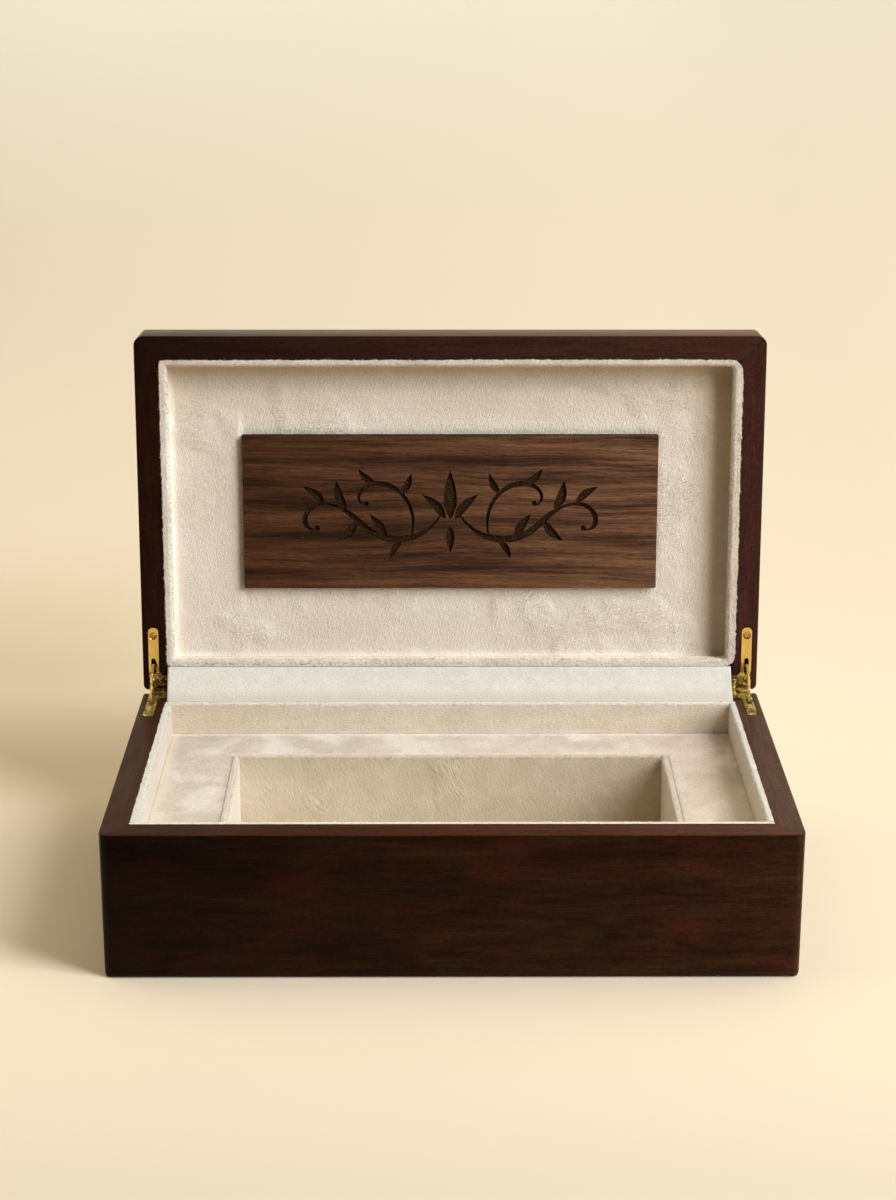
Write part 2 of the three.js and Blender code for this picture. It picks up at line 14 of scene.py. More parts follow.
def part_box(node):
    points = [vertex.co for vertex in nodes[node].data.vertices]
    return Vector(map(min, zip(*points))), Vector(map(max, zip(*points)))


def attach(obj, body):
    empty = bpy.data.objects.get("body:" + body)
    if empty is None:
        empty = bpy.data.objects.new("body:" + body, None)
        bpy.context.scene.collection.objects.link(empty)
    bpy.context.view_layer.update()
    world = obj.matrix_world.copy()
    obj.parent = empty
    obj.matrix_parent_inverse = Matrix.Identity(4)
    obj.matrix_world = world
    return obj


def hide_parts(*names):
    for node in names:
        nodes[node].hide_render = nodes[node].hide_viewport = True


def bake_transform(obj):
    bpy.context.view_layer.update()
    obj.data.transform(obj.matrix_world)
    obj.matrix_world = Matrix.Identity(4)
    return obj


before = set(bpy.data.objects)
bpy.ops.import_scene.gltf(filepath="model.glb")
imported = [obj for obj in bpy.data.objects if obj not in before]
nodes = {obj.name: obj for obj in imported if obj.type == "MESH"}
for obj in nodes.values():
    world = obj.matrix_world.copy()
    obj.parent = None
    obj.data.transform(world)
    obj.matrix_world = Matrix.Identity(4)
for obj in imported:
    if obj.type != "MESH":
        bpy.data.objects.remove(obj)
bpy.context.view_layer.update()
scene = bpy.context.scene

# ------------------------------------------------------------------ dimensions
AXIS_Y, AXIS_Z = 88.0, 67.15
OPEN = math.radians(94)
RIM = 67.0
LID_RIM = 67.3
PLATFORM_Z = 51.4
PAD_Z = 75.7
LIN_X, LIN_Y = 137.9, 74.9  # outer faces of the linings
IN_X, IN_Y = 134.8, 71.8  # platform and pad


def opened(p):
    """Points of the shut lid, in mm, turned to where they are with the lid open."""
    p = np.array(p, float)
    y, z = p[:, 1] - AXIS_Y, p[:, 2] - AXIS_Z
    c, s = math.cos(-OPEN), math.sin(-OPEN)
    return np.stack([p[:, 0], AXIS_Y + y * c - z * s, AXIS_Z + y * s + z * c], 1)


def shut(p):
    """A point of the open lid, in mm, turned to where it is with the lid shut."""
    y, z = p[1] - AXIS_Y, p[2] - AXIS_Z
    c, s = math.cos(OPEN), math.sin(OPEN)
    return [p[0], AXIS_Y + y * c - z * s, AXIS_Z + y * s + z * c]


# ------------------------------------------------------------------------ noise
def lattice(i, j, k, seed):
    n = i * 374761393 + j * 668265263 + k * 1440662683 + seed * 974634777
    n = (n ^ (n >> 13)) * 1274126177
    n = n ^ (n >> 16)
    return (n & 0xFFFFFF) / float(0x800000) - 1.0


def noise(p, size, seed):
    """Smooth noise from -1 to 1 at points p, with features of that size in mm (one or three numbers)."""
    q = np.asarray(p, float) / np.asarray(size, float) + 137.31 * seed
    i = np.floor(q).astype(np.int64)
    f = q - i
    f = f * f * (3 - 2 * f)
    out = np.zeros(len(q))
    for a in (0, 1):
        wa = f[:, 0] if a else 1 - f[:, 0]
        for b in (0, 1):
            wb = f[:, 1] if b else 1 - f[:, 1]
            for c in (0, 1):
                wc = f[:, 2] if c else 1 - f[:, 2]
                out += wa * wb * wc * lattice(i[:, 0] + a, i[:, 1] + b, i[:, 2] + c, seed)
    return out


def fuzz(p, seed, fine=0.09, coarse=0.07):
    """The uneven surface of a short pile, in mm."""
    return (
        fine * (0.6 * noise(p, 0.7, seed) + 0.4 * noise(p, 1.3, seed + 1))
        + coarse * (0.5 * noise(p, 5, seed + 2) + 0.5 * noise(p, 17, seed + 3))
    )


# ------------------------------------------------------------------- mesh tools
def new_object(name, points, faces, material, smooth=True):
    mesh = bpy.data.meshes.new(name)
    mesh.from_pydata((np.asarray(points, float) * 0.001).tolist(), [], [list(map(int, f)) for f in faces])
    mesh.update()
    if smooth:
        mesh.polygons.foreach_set("use_smooth", [True] * len(mesh.polygons))
    mesh.materials.append(material)
    ob = bpy.data.objects.new(name, mesh)
    scene.collection.objects.link(ob)
    return ob


def normals_of(points, faces):
    """Area-weighted vertex normals of quads and triangles."""
    p = np.asarray(points, float)
    n = np.zeros_like(p)
    for f, idx in ((3, [x for x in faces if len(x) == 3]), (4, [x for x in faces if len(x) == 4])):
        if not len(idx):
            continue
        q = np.array(idx)
        if f == 3:
            fn = np.cross(p[q[:, 1]] - p[q[:, 0]], p[q[:, 2]] - p[q[:, 0]])
        else:
            fn = np.cross(p[q[:, 2]] - p[q[:, 0]], p[q[:, 3]] - p[q[:, 1]])
        for k in range(f):
            np.add.at(n, q[:, k], fn)
    return n / np.maximum(np.linalg.norm(n, axis=1, keepdims=True), 1e-12)


def ring_faces(stations, section, closed=True):
    """Quads between the stations of a sweep, each with the same closed section."""
    a = np.arange(stations if closed else stations - 1)
    b = (a + 1) % stations
    k = np.arange(section)
    m = (k + 1) % section
    f = np.stack(
        [
            (a[:, None] * section + k).ravel(),
            (a[:, None] * section + m).ravel(),
            (b[:, None] * section + m).ravel(),
            (b[:, None] * section + k).ravel(),
        ],
        1,
    )
    return f.tolist()


def oriented(points, faces):
    """The faces, turned about if the closed mesh is inside out."""
    p = np.asarray(points, float)
    volume = 0.0
    for f in faces:
        o = p[f[0]]
        for k in range(1, len(f) - 1):
            volume += np.dot(o, np.cross(p[f[k]], p[f[k + 1]]))
        # a sample is enough on a large mesh, but the sum over all is exact
    return faces if volume > 0 else [list(reversed(f)) for f in faces]


def rounded_outline(hx, hy, radii, step):
    """Points round a rectangle from its lower left corner, counter-clockwise, with
    the corner radii [lower left, lower right, upper right, upper left]. Also gives,
    for each point, the corner or side it is on, so that two outlines match."""
    tags = []
    corners = [(-1, -1, 180), (1, -1, 270), (1, 1, 0), (-1, 1, 90)]
    length = [2 * hx, 2 * hy, 2 * hx, 2 * hy]
    for i in range(4):
        n = max(4, int(round(max(radii[i], 1.5) * math.pi / 2 / step)))
        tags += [("c", i, k / n) for k in range(n + 1)]
        m = max(2, int(round(length[i] / step)))
        tags += [("s", i, k / m) for k in range(1, m)]
    return tags, corners


def outline_points(tags, corners, hx, hy, radii):
    def corner(i, t):
        sx, sy, a0 = corners[i]
        r = radii[i]
        a = math.radians(a0 + 90 * t)
        return (sx * (hx - r) + r * math.cos(a), sy * (hy - r) + r * math.sin(a))

    out = []
    for kind, i, t in tags:
        if kind == "c":
            out.append(corner(i, t))
        else:
            a, b = corner(i, 1), corner((i + 1) % 4, 0)
            out.append((a[0] * (1 - t) + b[0] * t, a[1] * (1 - t) + b[1] * t))
    return np.array(out)


def swept_ring(outer, inner, section, step):
    """A closed ring between two rounded rectangles, each (hx, hy, radii). section is a
    closed list of (t, z): t is 0 on the outer face and 1 on the inner one."""
    tags, corners = rounded_outline(outer[0], outer[1], outer[2], step)
    po = outline_points(tags, corners, *outer)
    pi = outline_points(tags, corners, *inner)
    t = np.array([s[0] for s in section])
    z = np.array([s[1] for s in section])
    xy = po[:, None, :] * (1 - t)[None, :, None] + pi[:, None, :] * t[None, :, None]
    pts = np.concatenate([xy, np.broadcast_to(z[None, :, None], xy.shape[:2] + (1,))], 2)
    return pts.reshape(-1, 3), ring_faces(len(tags), len(section))


def arc(cx, cy, r, a0, a1, n):
    return [
        (cx + r * math.cos(math.radians(a0 + (a1 - a0) * k / n)), cy + r * math.sin(math.radians(a0 + (a1 - a0) * k / n)))
        for k in range(n + 1)
    ]


def board_section(t0, t1, z0, z1, r_top, r_low=0.4, n=5, fine=0.9, visible=18.0, r_out=None, outer=0):
    """The section of a wrapped board, its edge at z1 rounded: (t, z), counter-clockwise.
    Its outer side, 0 at t0 or 1 at t1, can have an edge of its own, of radius r_out."""
    if r_out is None:
        r_out = r_top
    if outer == 1:
        turned = board_section(-t1, -t0, z0, z1, r_top, r_low, n, fine, visible, r_out, 0)
        return [(-t, z) for t, z in reversed(turned)]
    pts = arc(t1 - r_low, z0 + r_low, r_low, -90, 0, 2)
    deep = z1 - visible
    if deep > z0 + 2:
        pts.append((t1, deep))
        start = deep
    else:
        start = z0 + r_low
    m = max(2, int((z1 - r_top - start) / fine / 2))
    pts += [(t1, start + (z1 - r_top - start) * k / m) for k in range(1, m)]
    pts += arc(t1 - r_top, z1 - r_top, r_top, 0, 90, n)
    flat = t1 - t0 - r_top - r_out
    m = max(1, int(flat / 0.5))
    pts += [(t1 - r_top - flat * k / m, z1) for k in range(1, m)]
    pts += arc(t0 + r_out, z1 - r_out, r_out, 90, 180, n)
    pts += [(t0, z1 - r_out - 3), (t0, z0 + r_low)]
    pts += arc(t0 + r_low, z0 + r_low, r_low, 180, 270, 2)[1:]
    return pts


def swept_bar(section, along, a, b, step, r_end=0.5, flip=False):
    """A straight bar: section is (across, z), along is 'x' or 'y', from a to b, its ends eased."""
    s = np.array(section, float)
    c = s.mean(0)
    nxt, prv = np.roll(s, -1, 0), np.roll(s, 1, 0)
    tang = nxt - prv
    nrm = np.stack([tang[:, 1], -tang[:, 0]], 1)
    nrm /= np.maximum(np.linalg.norm(nrm, axis=1, keepdims=True), 1e-9)
    area = 0.5 * np.sum(s[:, 0] * nxt[:, 1] - nxt[:, 0] * s[:, 1])
    if area < 0:
        nrm = -nrm
    stations = []
    n_end = 4
    for k in range(n_end + 1):
        t = math.radians(90 * k / n_end)
        stations.append((a + r_end * (1 - math.sin(t)), r_end * (1 - math.cos(math.radians(90) - t))))
    stations = [(a + r_end * (1 - math.cos(math.radians(90 * k / n_end))), r_end * (1 - math.sin(math.radians(90 * k / n_end)))) for k in range(n_end + 1)]
    m = max(2, int(round((b - a - 2 * r_end) / step)))
    mid = [(a + r_end + (b - a - 2 * r_end) * k / m, 0.0) for k in range(1, m)]
    tail = [(b - (x - a), d) for x, d in reversed(stations)]
    stations = stations + mid + tail
    pts = []
    for x, d in stations:
        q = s - nrm * d
        col = np.full(len(q), x)
        if along == "x":
            pts.append(np.stack([col, q[:, 0], q[:, 1]], 1))
        else:
            pts.append(np.stack([q[:, 0], col, q[:, 1]], 1))
    n = len(s)
    faces = ring_faces(len(stations), n, closed=False)
    faces.append(list(range(n)))
    last = (len(stations) - 1) * n
    faces.append([last + k for k in reversed(range(n))])
    return np.concatenate(pts), faces


def pile(points, faces, amount, lo, hi, seed):
    """Points moved along their normals by amount(points), and kept within lo and hi."""
    n = normals_of(points, faces)
    p = points + n * amount(points)[:, None]
    return np.minimum(np.maximum(p, np.array(lo)), np.array(hi))


def with_nap(points, faces, density, length, seed, lo=None, hi=None, lean=(0.0, 0.0, 0.0), width=0.06):
    """The mesh of a cloth with short stray fibres of its pile on it. density(points) is the
    number of fibres per square millimetre; their tips stay within lo and hi."""
    rng = np.random.default_rng(seed)
    p = np.asarray(points, float)
    q = np.array([f for f in faces if len(f) == 4])
    a, b, c, d = (p[q[:, k]] for k in range(4))
    n = np.cross(c - a, d - b)
    area = np.linalg.norm(n, axis=1)
    n = n / np.maximum(area, 1e-12)[:, None]
    count = rng.poisson(np.maximum(density((a + b + c + d) / 4), 0) * area / 2)
    i = np.repeat(np.arange(len(q)), count)
    u, v = rng.random((2, len(i), 1))
    root = (a[i] * (1 - u) + b[i] * u) * (1 - v) + (d[i] * (1 - u) + c[i] * u) * v
    way = n[i] * 0.8 + 0.62 * rng.normal(size=(len(i), 3)) + np.array(lean)
    way /= np.linalg.norm(way, axis=1, keepdims=True)
    across = np.cross(way, rng.normal(size=(len(i), 3)))
    across /= np.maximum(np.linalg.norm(across, axis=1, keepdims=True), 1e-9)
    size = length * (0.45 + 0.9 * rng.random((len(i), 1)))
    root = root - n[i] * 0.03
    tip = root + way * size
    feet = [root - across * width, root + across * width]
    if lo is not None:
        tip = np.minimum(np.maximum(tip, np.array(lo)), np.array(hi))
        for foot in feet:
            foot[:, 2] = np.clip(foot[:, 2], lo[2], hi[2])
    fibres = np.stack(feet + [tip], 1).reshape(-1, 3)
    first = len(p) + 3 * np.arange(len(i))
    return np.concatenate([p, fibres]), list(faces) + np.stack([first, first + 1, first + 2], 1).tolist()


# --------------------------------------------------------------- material tools
class Look:
    """A material built from nodes. Sizes in millimetres, in the rest frame of the box."""

    def __init__(self, name, lid=False, offset=(0.0, 0.0, 0.0)):
        self.material = bpy.data.materials.new(name)
        self.material.use_nodes = True
        self.tree = self.material.node_tree
        self.tree.nodes.clear()
        self.output = self.tree.nodes.new("ShaderNodeOutputMaterial")
        self.shader = self.tree.nodes.new("ShaderNodeBsdfPrincipled")
        self.tree.links.new(self.shader.outputs["BSDF"], self.output.inputs["Surface"])
        coords = self.tree.nodes.new("ShaderNodeTexCoord")
        here = coords.outputs["Object"]
        if lid:
            c, s = math.cos(OPEN), math.sin(OPEN)
            ay, az = AXIS_Y * 0.001, AXIS_Z * 0.001
            here = self.mapped(
                here,
                scale=(1, 1, 1),
                rotation=(OPEN, 0, 0),
                location=(0, ay - (ay * c - az * s), az - (ay * s + az * c)),
            )
        self.mm = self.mapped(here, scale=(1000, 1000, 1000), location=offset)

    def node(self, kind, **props):
        n = self.tree.nodes.new(kind)
        for k, v in props.items():
            setattr(n, k, v)
        return n

    def put(self, socket, value):
        if isinstance(value, bpy.types.NodeSocket):
            self.tree.links.new(value, socket)
        elif isinstance(value, (tuple, list)) and len(value) == 3 and socket.type == "RGBA":
            socket.default_value = (*value, 1.0)
        else:
            socket.default_value = value

    def mapped(self, vector, scale=(1, 1, 1), rotation=(0, 0, 0), location=(0, 0, 0)):
        n = self.node("ShaderNodeMapping", vector_type="POINT")
        self.put(n.inputs["Vector"], vector)
        n.inputs["Scale"].default_value = scale
        n.inputs["Rotation"].default_value = rotation
        n.inputs["Location"].default_value = location
        return n.outputs["Vector"]

    def turned(self, rotation):
        return self.mapped(self.mm, rotation=tuple(math.radians(r) for r in rotation))

    def noise(self, size, detail=2.0, rough=0.5, distortion=0.0, vector=None, seed=0.0):
        """Noise from 0 to 1 with features of that size: one number, or one for each axis."""
        if not isinstance(size, (tuple, list)):
            size = (size, size, size)
        v = self.mapped(
            vector or self.mm,
            scale=tuple(1.0 / s for s in size),
            location=(seed * 7.13, seed * 3.71, seed * 5.37),
        )
        n = self.node("ShaderNodeTexNoise", noise_dimensions="3D")
        self.put(n.inputs["Vector"], v)
        n.inputs["Scale"].default_value = 1.0
        n.inputs["Detail"].default_value = detail
        n.inputs["Roughness"].default_value = rough
        n.inputs["Distortion"].default_value = distortion
        return n.outputs["Fac"]

    def voronoi(self, size, vector=None, seed=0.0, feature="F1", randomness=1.0):
        if not isinstance(size, (tuple, list)):
            size = (size, size, size)
        v = self.mapped(
            vector or self.mm,
            scale=tuple(1.0 / s for s in size),
            location=(seed * 7.13, seed * 3.71, seed * 5.37),
        )
        n = self.node("ShaderNodeTexVoronoi", feature=feature)
        self.put(n.inputs["Vector"], v)
        n.inputs["Scale"].default_value = 1.0
        n.inputs["Randomness"].default_value = randomness
        return n.outputs["Distance"]

    def math(self, op, a, b=0.0, c=0.0, clamp=False):
        n = self.node("ShaderNodeMath", operation=op, use_clamp=clamp)
        self.put(n.inputs[0], a)
        self.put(n.inputs[1], b)
        self.put(n.inputs[2], c)
        return n.outputs[0]

    def axis(self, which, vector=None):
        n = self.node("ShaderNodeSeparateXYZ")
        self.put(n.inputs[0], vector or self.mm)
        return n.outputs["XYZ".index(which)]

    def between(self, value, low, high, out_low=0.0, out_high=1.0, smooth=True):
        n = self.node("ShaderNodeMapRange", clamp=True, interpolation_type="SMOOTHSTEP" if smooth else "LINEAR")
        self.put(n.inputs["Value"], value)
        n.inputs["From Min"].default_value = low
        n.inputs["From Max"].default_value = high
        n.inputs["To Min"].default_value = out_low
        n.inputs["To Max"].default_value = out_high
        return n.outputs["Result"]

    def mix(self, factor, a, b, blend="MIX"):
        n = self.node("ShaderNodeMix", data_type="RGBA", blend_type=blend)
        n.clamp_factor = True
        self.put(n.inputs[0], factor)
        self.put(n.inputs[6], a)
        self.put(n.inputs[7], b)
        return n.outputs[2]

    def scaled(self, colour, factor):
        """A colour times a number field."""
        n = self.node("ShaderNodeVectorMath", operation="SCALE")
        self.put(n.inputs[0], colour)
        self.put(n.inputs["Scale"], factor)
        return n.outputs[0]

    def ramp(self, factor, stops, interpolation="LINEAR"):
        n = self.node("ShaderNodeValToRGB")
        n.color_ramp.interpolation = interpolation
        self.put(n.inputs[0], factor)
        e = n.color_ramp.elements
        while len(e) < len(stops):
            e.new(0.5)
        for slot, (at, colour) in zip(e, stops):
            slot.position = at
            slot.color = (*colour, 1.0)
        return n.outputs[0]

    def bump(self, height, distance, strength=1.0, normal=None):
        """Relief of that height in mm where the field goes from 0 to 1."""
        n = self.node("ShaderNodeBump")
        n.inputs["Strength"].default_value = strength
        n.inputs["Distance"].default_value = distance * 0.001
        self.put(n.inputs["Height"], height)
        if normal is not None:
            self.put(n.inputs["Normal"], normal)
        return n.outputs["Normal"]

    def set(self, **values):
        names = {
            "colour": "Base Color",
            "roughness": "Roughness",
            "metallic": "Metallic",
            "normal": "Normal",
            "ior": "IOR",
            "specular": "Specular IOR Level",
            "sheen": "Sheen Weight",
            "sheen_roughness": "Sheen Roughness",
            "sheen_tint": "Sheen Tint",
            "coat": "Coat Weight",
            "coat_roughness": "Coat Roughness",
            "coat_ior": "Coat IOR",
        }
        for k, v in values.items():
            self.put(self.shader.inputs[names[k]], v)
        return self.material


# ------------------------------------------------------------------------- wood
def dark_wood(name, grain, lid=False, tone=1.0, seed=0.0, rim=0.9, front_highlight=False, tint=(1.0, 1.0, 1.0), front=False):
    """Dark reddish walnut under a thin satin lacquer. grain is the axis it runs along.
    The eased rims are painted a little lighter than the faces, a painted reflection of the bright surroundings."""
    look = Look(name, lid=lid)
    s = {"x": lambda a, c: (a, c, c), "y": lambda a, c: (c, a, c)}[grain]
    broad = look.noise(s(95, 13), detail=3, rough=0.55, distortion=0.6, seed=seed + 1)
    figure = look.noise(s(46, 3.2), detail=4, rough=0.6, distortion=0.9, seed=seed + 2)
    fibre = look.noise(s(9, 0.5), detail=3, rough=0.6, seed=seed + 3)
    blotch = look.noise(s(40, 17), detail=2, rough=0.5, seed=seed + 4)
    pores = look.noise(s(3.4, 0.22), detail=1, rough=0.4, seed=seed + 5)
    patches = look.noise(s(24, 6), detail=1, seed=seed + 6)
    # colour of a face
    face = look.ramp(
        look.math("MULTIPLY_ADD", figure, 0.55, look.math("MULTIPLY", broad, 0.45)),
        [
            (0.30, (0.0105, 0.0036, 0.0015)),
            (0.44, (0.0190, 0.0064, 0.0028)),
            (0.56, (0.0290, 0.0100, 0.0046)),
            (0.72, (0.0440, 0.0180, 0.0078)),
        ],
    )
    face = look.mix(look.between(blotch, 0.52, 0.74, 0, 0.7), face, (0.0440, 0.0110, 0.0060))
    face = look.mix(look.between(patches, 0.56, 0.76, 0, 0.5), face, (0.0300, 0.0175, 0.0060))
    face = look.scaled(face, look.between(fibre, 0.25, 0.75, 0.68, 1.32, smooth=False))
    hairline = look.noise(s(15, 0.50), detail=2, rough=0.5, distortion=0.4, seed=seed + 10)
    face = look.scaled(face, look.between(hairline, 0.60, 0.68, 1.0, 0.66))
    # painted light: the front face is lighter near its bottom and darker near its top
    if front:
        face = look.scaled(face, look.between(look.axis("Z"), 6, 66, 1.14, 0.84, smooth=False))
    # painted reflection: the colour of a rim, lighter than a face, as if its lacquer mirrored the bright surroundings
    rim_reflection_colour = look.ramp(
        look.math("MULTIPLY_ADD", figure, 0.5, look.math("MULTIPLY", fibre, 0.5)),
        [
            (0.30, (0.033, 0.0115, 0.0064)),
            (0.50, (0.052, 0.0190, 0.0110)),
            (0.72, (0.078, 0.0320, 0.0200)),
        ],
    )
    z = look.axis("Z")
    level = look.math("ABSOLUTE", look.math("SUBTRACT", z, 67.15))
    on_rim = look.between(level, 0.25, 0.8, 1, 0)
    colour = look.mix(on_rim, face, rim_reflection_colour)
    pore = look.between(pores, 0.66, 0.74, 0, 1)
    pore = look.math("MULTIPLY", pore, look.between(look.noise(s(60, 9), seed=seed + 8), 0.4, 0.6))
    colour = look.scaled(colour, look.between(pore, 0, 1, 1.0, 0.42))
    # painted light: faces and rims darker at the left end and lighter at the right, where the light falls
    x = look.axis("X")
    faces = look.between(x, -160, 160, 0.31 * tone, 1.20 * tone, smooth=False)
    rims = look.between(x, -160, 160, 0.62 * rim, 1.45 * rim, smooth=False) if rim > 0.7 else faces
    colour = look.scaled(colour, look.math("ADD", look.math("MULTIPLY", on_rim, rims), look.math("MULTIPLY", look.math("SUBTRACT", 1.0, on_rim), faces)))
    if front:
        # painted light: the front pieces warmer at the left and cooler at the right, where the light falls, and their
        # rims a little darker
        shift = look.ramp(look.between(x, -150, 150, smooth=False), [(0.0, (0.97, 0.93, 0.80)), (1.0, (1.03, 1.10, 1.18))])
        colour = look.mix(1.0, colour, shift, blend="MULTIPLY")
        colour = look.scaled(colour, look.between(on_rim, 0, 1, 1.0, 0.90))
    if tint != (1.0, 1.0, 1.0):
        colour = look.mix(1.0, colour, tint, blend="MULTIPLY")
    mottle = look.noise(1.5, detail=3, rough=0.7, seed=seed + 11)
    colour = look.scaled(colour, look.between(mottle, 0.3, 0.7, 0.76, 1.26, smooth=False))
    specks = look.voronoi(5.5, seed=seed + 9)
    dust = look.between(specks, 0.028, 0.050, 0.10 if front else 0.32, 0)
    colour = look.mix(dust, colour, (0.20, 0.13, 0.10))
    nicks = look.voronoi(s(26, 17), seed=seed + 12)
    colour = look.mix(look.between(nicks, 0.016, 0.030, 0.85, 0), colour, (0.004, 0.002, 0.001))
    rough = look.between(look.noise(s(20, 5), detail=3, seed=seed + 7), 0.3, 0.7, 0.30, 0.42, smooth=False)
    normal = look.bump(fibre, 0.010)
    normal = look.bump(look.math("SUBTRACT", 1.0, pore), 0.05, normal=normal)
    # painted highlight: the lid's front face is given a lighter colour, and more sheen towards the right, to stand in
    # for the light it catches at a flat angle
    if front_highlight:
        edge = look.math("MULTIPLY", look.between(look.axis("Y"), -86.6, -84.0, 1, 0), look.between(z, 67.32, 67.75))
        highlight_colour = look.ramp(look.between(x, -150, 150, smooth=False), [(0.0, (0.022, 0.0080, 0.0030)), (1.0, (0.052, 0.0190, 0.0080))])
        highlight_colour = look.scaled(highlight_colour, look.between(fibre, 0.25, 0.75, 0.8, 1.2, smooth=False))
        colour = look.mix(look.math("MULTIPLY", edge, 0.9), colour, highlight_colour)
        # painted sheen, growing towards the right, where the light falls
        painted_sheen = look.math("MULTIPLY", edge, look.between(x, -150, 150, 0.06, 0.20, smooth=False))
        look.set(coat=look.math("MULTIPLY", edge, 0.15), coat_roughness=0.25, coat_ior=1.5)
        look.set(sheen=painted_sheen, sheen_roughness=0.40, sheen_tint=(1.0, 0.52, 0.30))
    return look.set(colour=colour, roughness=rough, ior=1.13, normal=normal)


def plaque_walnut():
    """Oiled walnut with dark bands along its length; the floor of the engraving is dark and rough."""
    look = Look("plaque_walnut", lid=True)
    warp = look.noise((120, 34, 60), detail=2, seed=2.2)
    lift = look.math("MULTIPLY", look.math("SUBTRACT", warp, 0.5), 11.0)
    y = look.math("ADD", look.axis("Y"), lift)
    comb = look.node("ShaderNodeCombineXYZ")
    look.put(comb.inputs[0], look.axis("X"))
    look.put(comb.inputs[1], y)
    look.put(comb.inputs[2], look.axis("Z"))
    v = comb.outputs[0]
    bands = look.noise((120, 5.4, 60), detail=4, rough=0.66, vector=v, seed=4.1)
    lines = look.noise((30, 0.80, 40), detail=4, rough=0.62, vector=v, seed=5.3)
    fibre = look.noise((7, 0.30, 8), detail=2, rough=0.6, vector=v, seed=6.7)
    field = look.math("MULTIPLY_ADD", bands, 0.68, look.math("MULTIPLY", lines, 0.32))
    colour = look.ramp(
        field,
        [
            (0.36, (0.0200, 0.0082, 0.0040)),
            (0.43, (0.0420, 0.0175, 0.0085)),
            (0.50, (0.0780, 0.0335, 0.0165)),
            (0.58, (0.1180, 0.0540, 0.0255)),
            (0.70, (0.1600, 0.0780, 0.0390)),
        ],
    )
    colour = look.scaled(colour, look.between(fibre, 0.25, 0.75, 0.66, 1.34, smooth=False))
    pores = look.noise((3.6, 0.30, 2), detail=1, seed=7.7, vector=v)
    pore = look.between(pores, 0.58, 0.68)
    colour = look.scaled(colour, look.between(pore, 0, 1, 1, 0.52))
    # painted light: the plaque darker and warmer at its left end, lighter and cooler at its right, where the light
    # falls
    side = look.ramp(look.between(look.axis("X"), -105, 105, smooth=False), [(0.0, (0.41, 0.335, 0.245)), (0.5, (0.62, 0.60, 0.57)), (1.0, (1.05, 1.11, 1.20))])
    colour = look.scaled(look.mix(1.0, colour, side, blend="MULTIPLY"), 1.82)
    # engraved floor
    speckle = look.noise(0.55, detail=3, rough=0.7, seed=8.1)
    floor = look.ramp(speckle, [(0.36, (0.0080, 0.0042, 0.0018)), (0.52, (0.0290, 0.0150, 0.0062)), (0.68, (0.0950, 0.0520, 0.0230))])
    z = look.axis("Z")
    cut = look.between(z, 72.62, 73.0)
    inside = look.math("MULTIPLY", cut, look.between(z, 73.7, 74.0, 1, 0))
    colour = look.mix(inside, colour, floor)
    edge = look.between(look.axis("Y"), -38.35, -38.1, 1, 0)
    colour = look.mix(look.math("MULTIPLY", edge, 0.6), colour, (0.020, 0.010, 0.006))
    rough = look.between(inside, 0, 1, 0.5, 0.85)
    relief = look.math("ADD", look.math("MULTIPLY", fibre, 0.02), look.math("MULTIPLY", look.math("MULTIPLY", speckle, inside), 0.30))
    normal = look.bump(relief, 1.0)
    return look.set(colour=colour, roughness=rough, ior=1.25, specular=look.between(inside, 0, 1, 0.5, 0.06), normal=normal)


def plain_board():
    look = Look("plain_board")
    flakes = look.noise((4, 4, 1.2), detail=4, rough=0.7, seed=3)
    colour = look.ramp(flakes, [(0.3, (0.22, 0.13, 0.07)), (0.7, (0.42, 0.29, 0.17))])
    return look.set(colour=colour, roughness=0.85, normal=look.bump(flakes, 0.05))


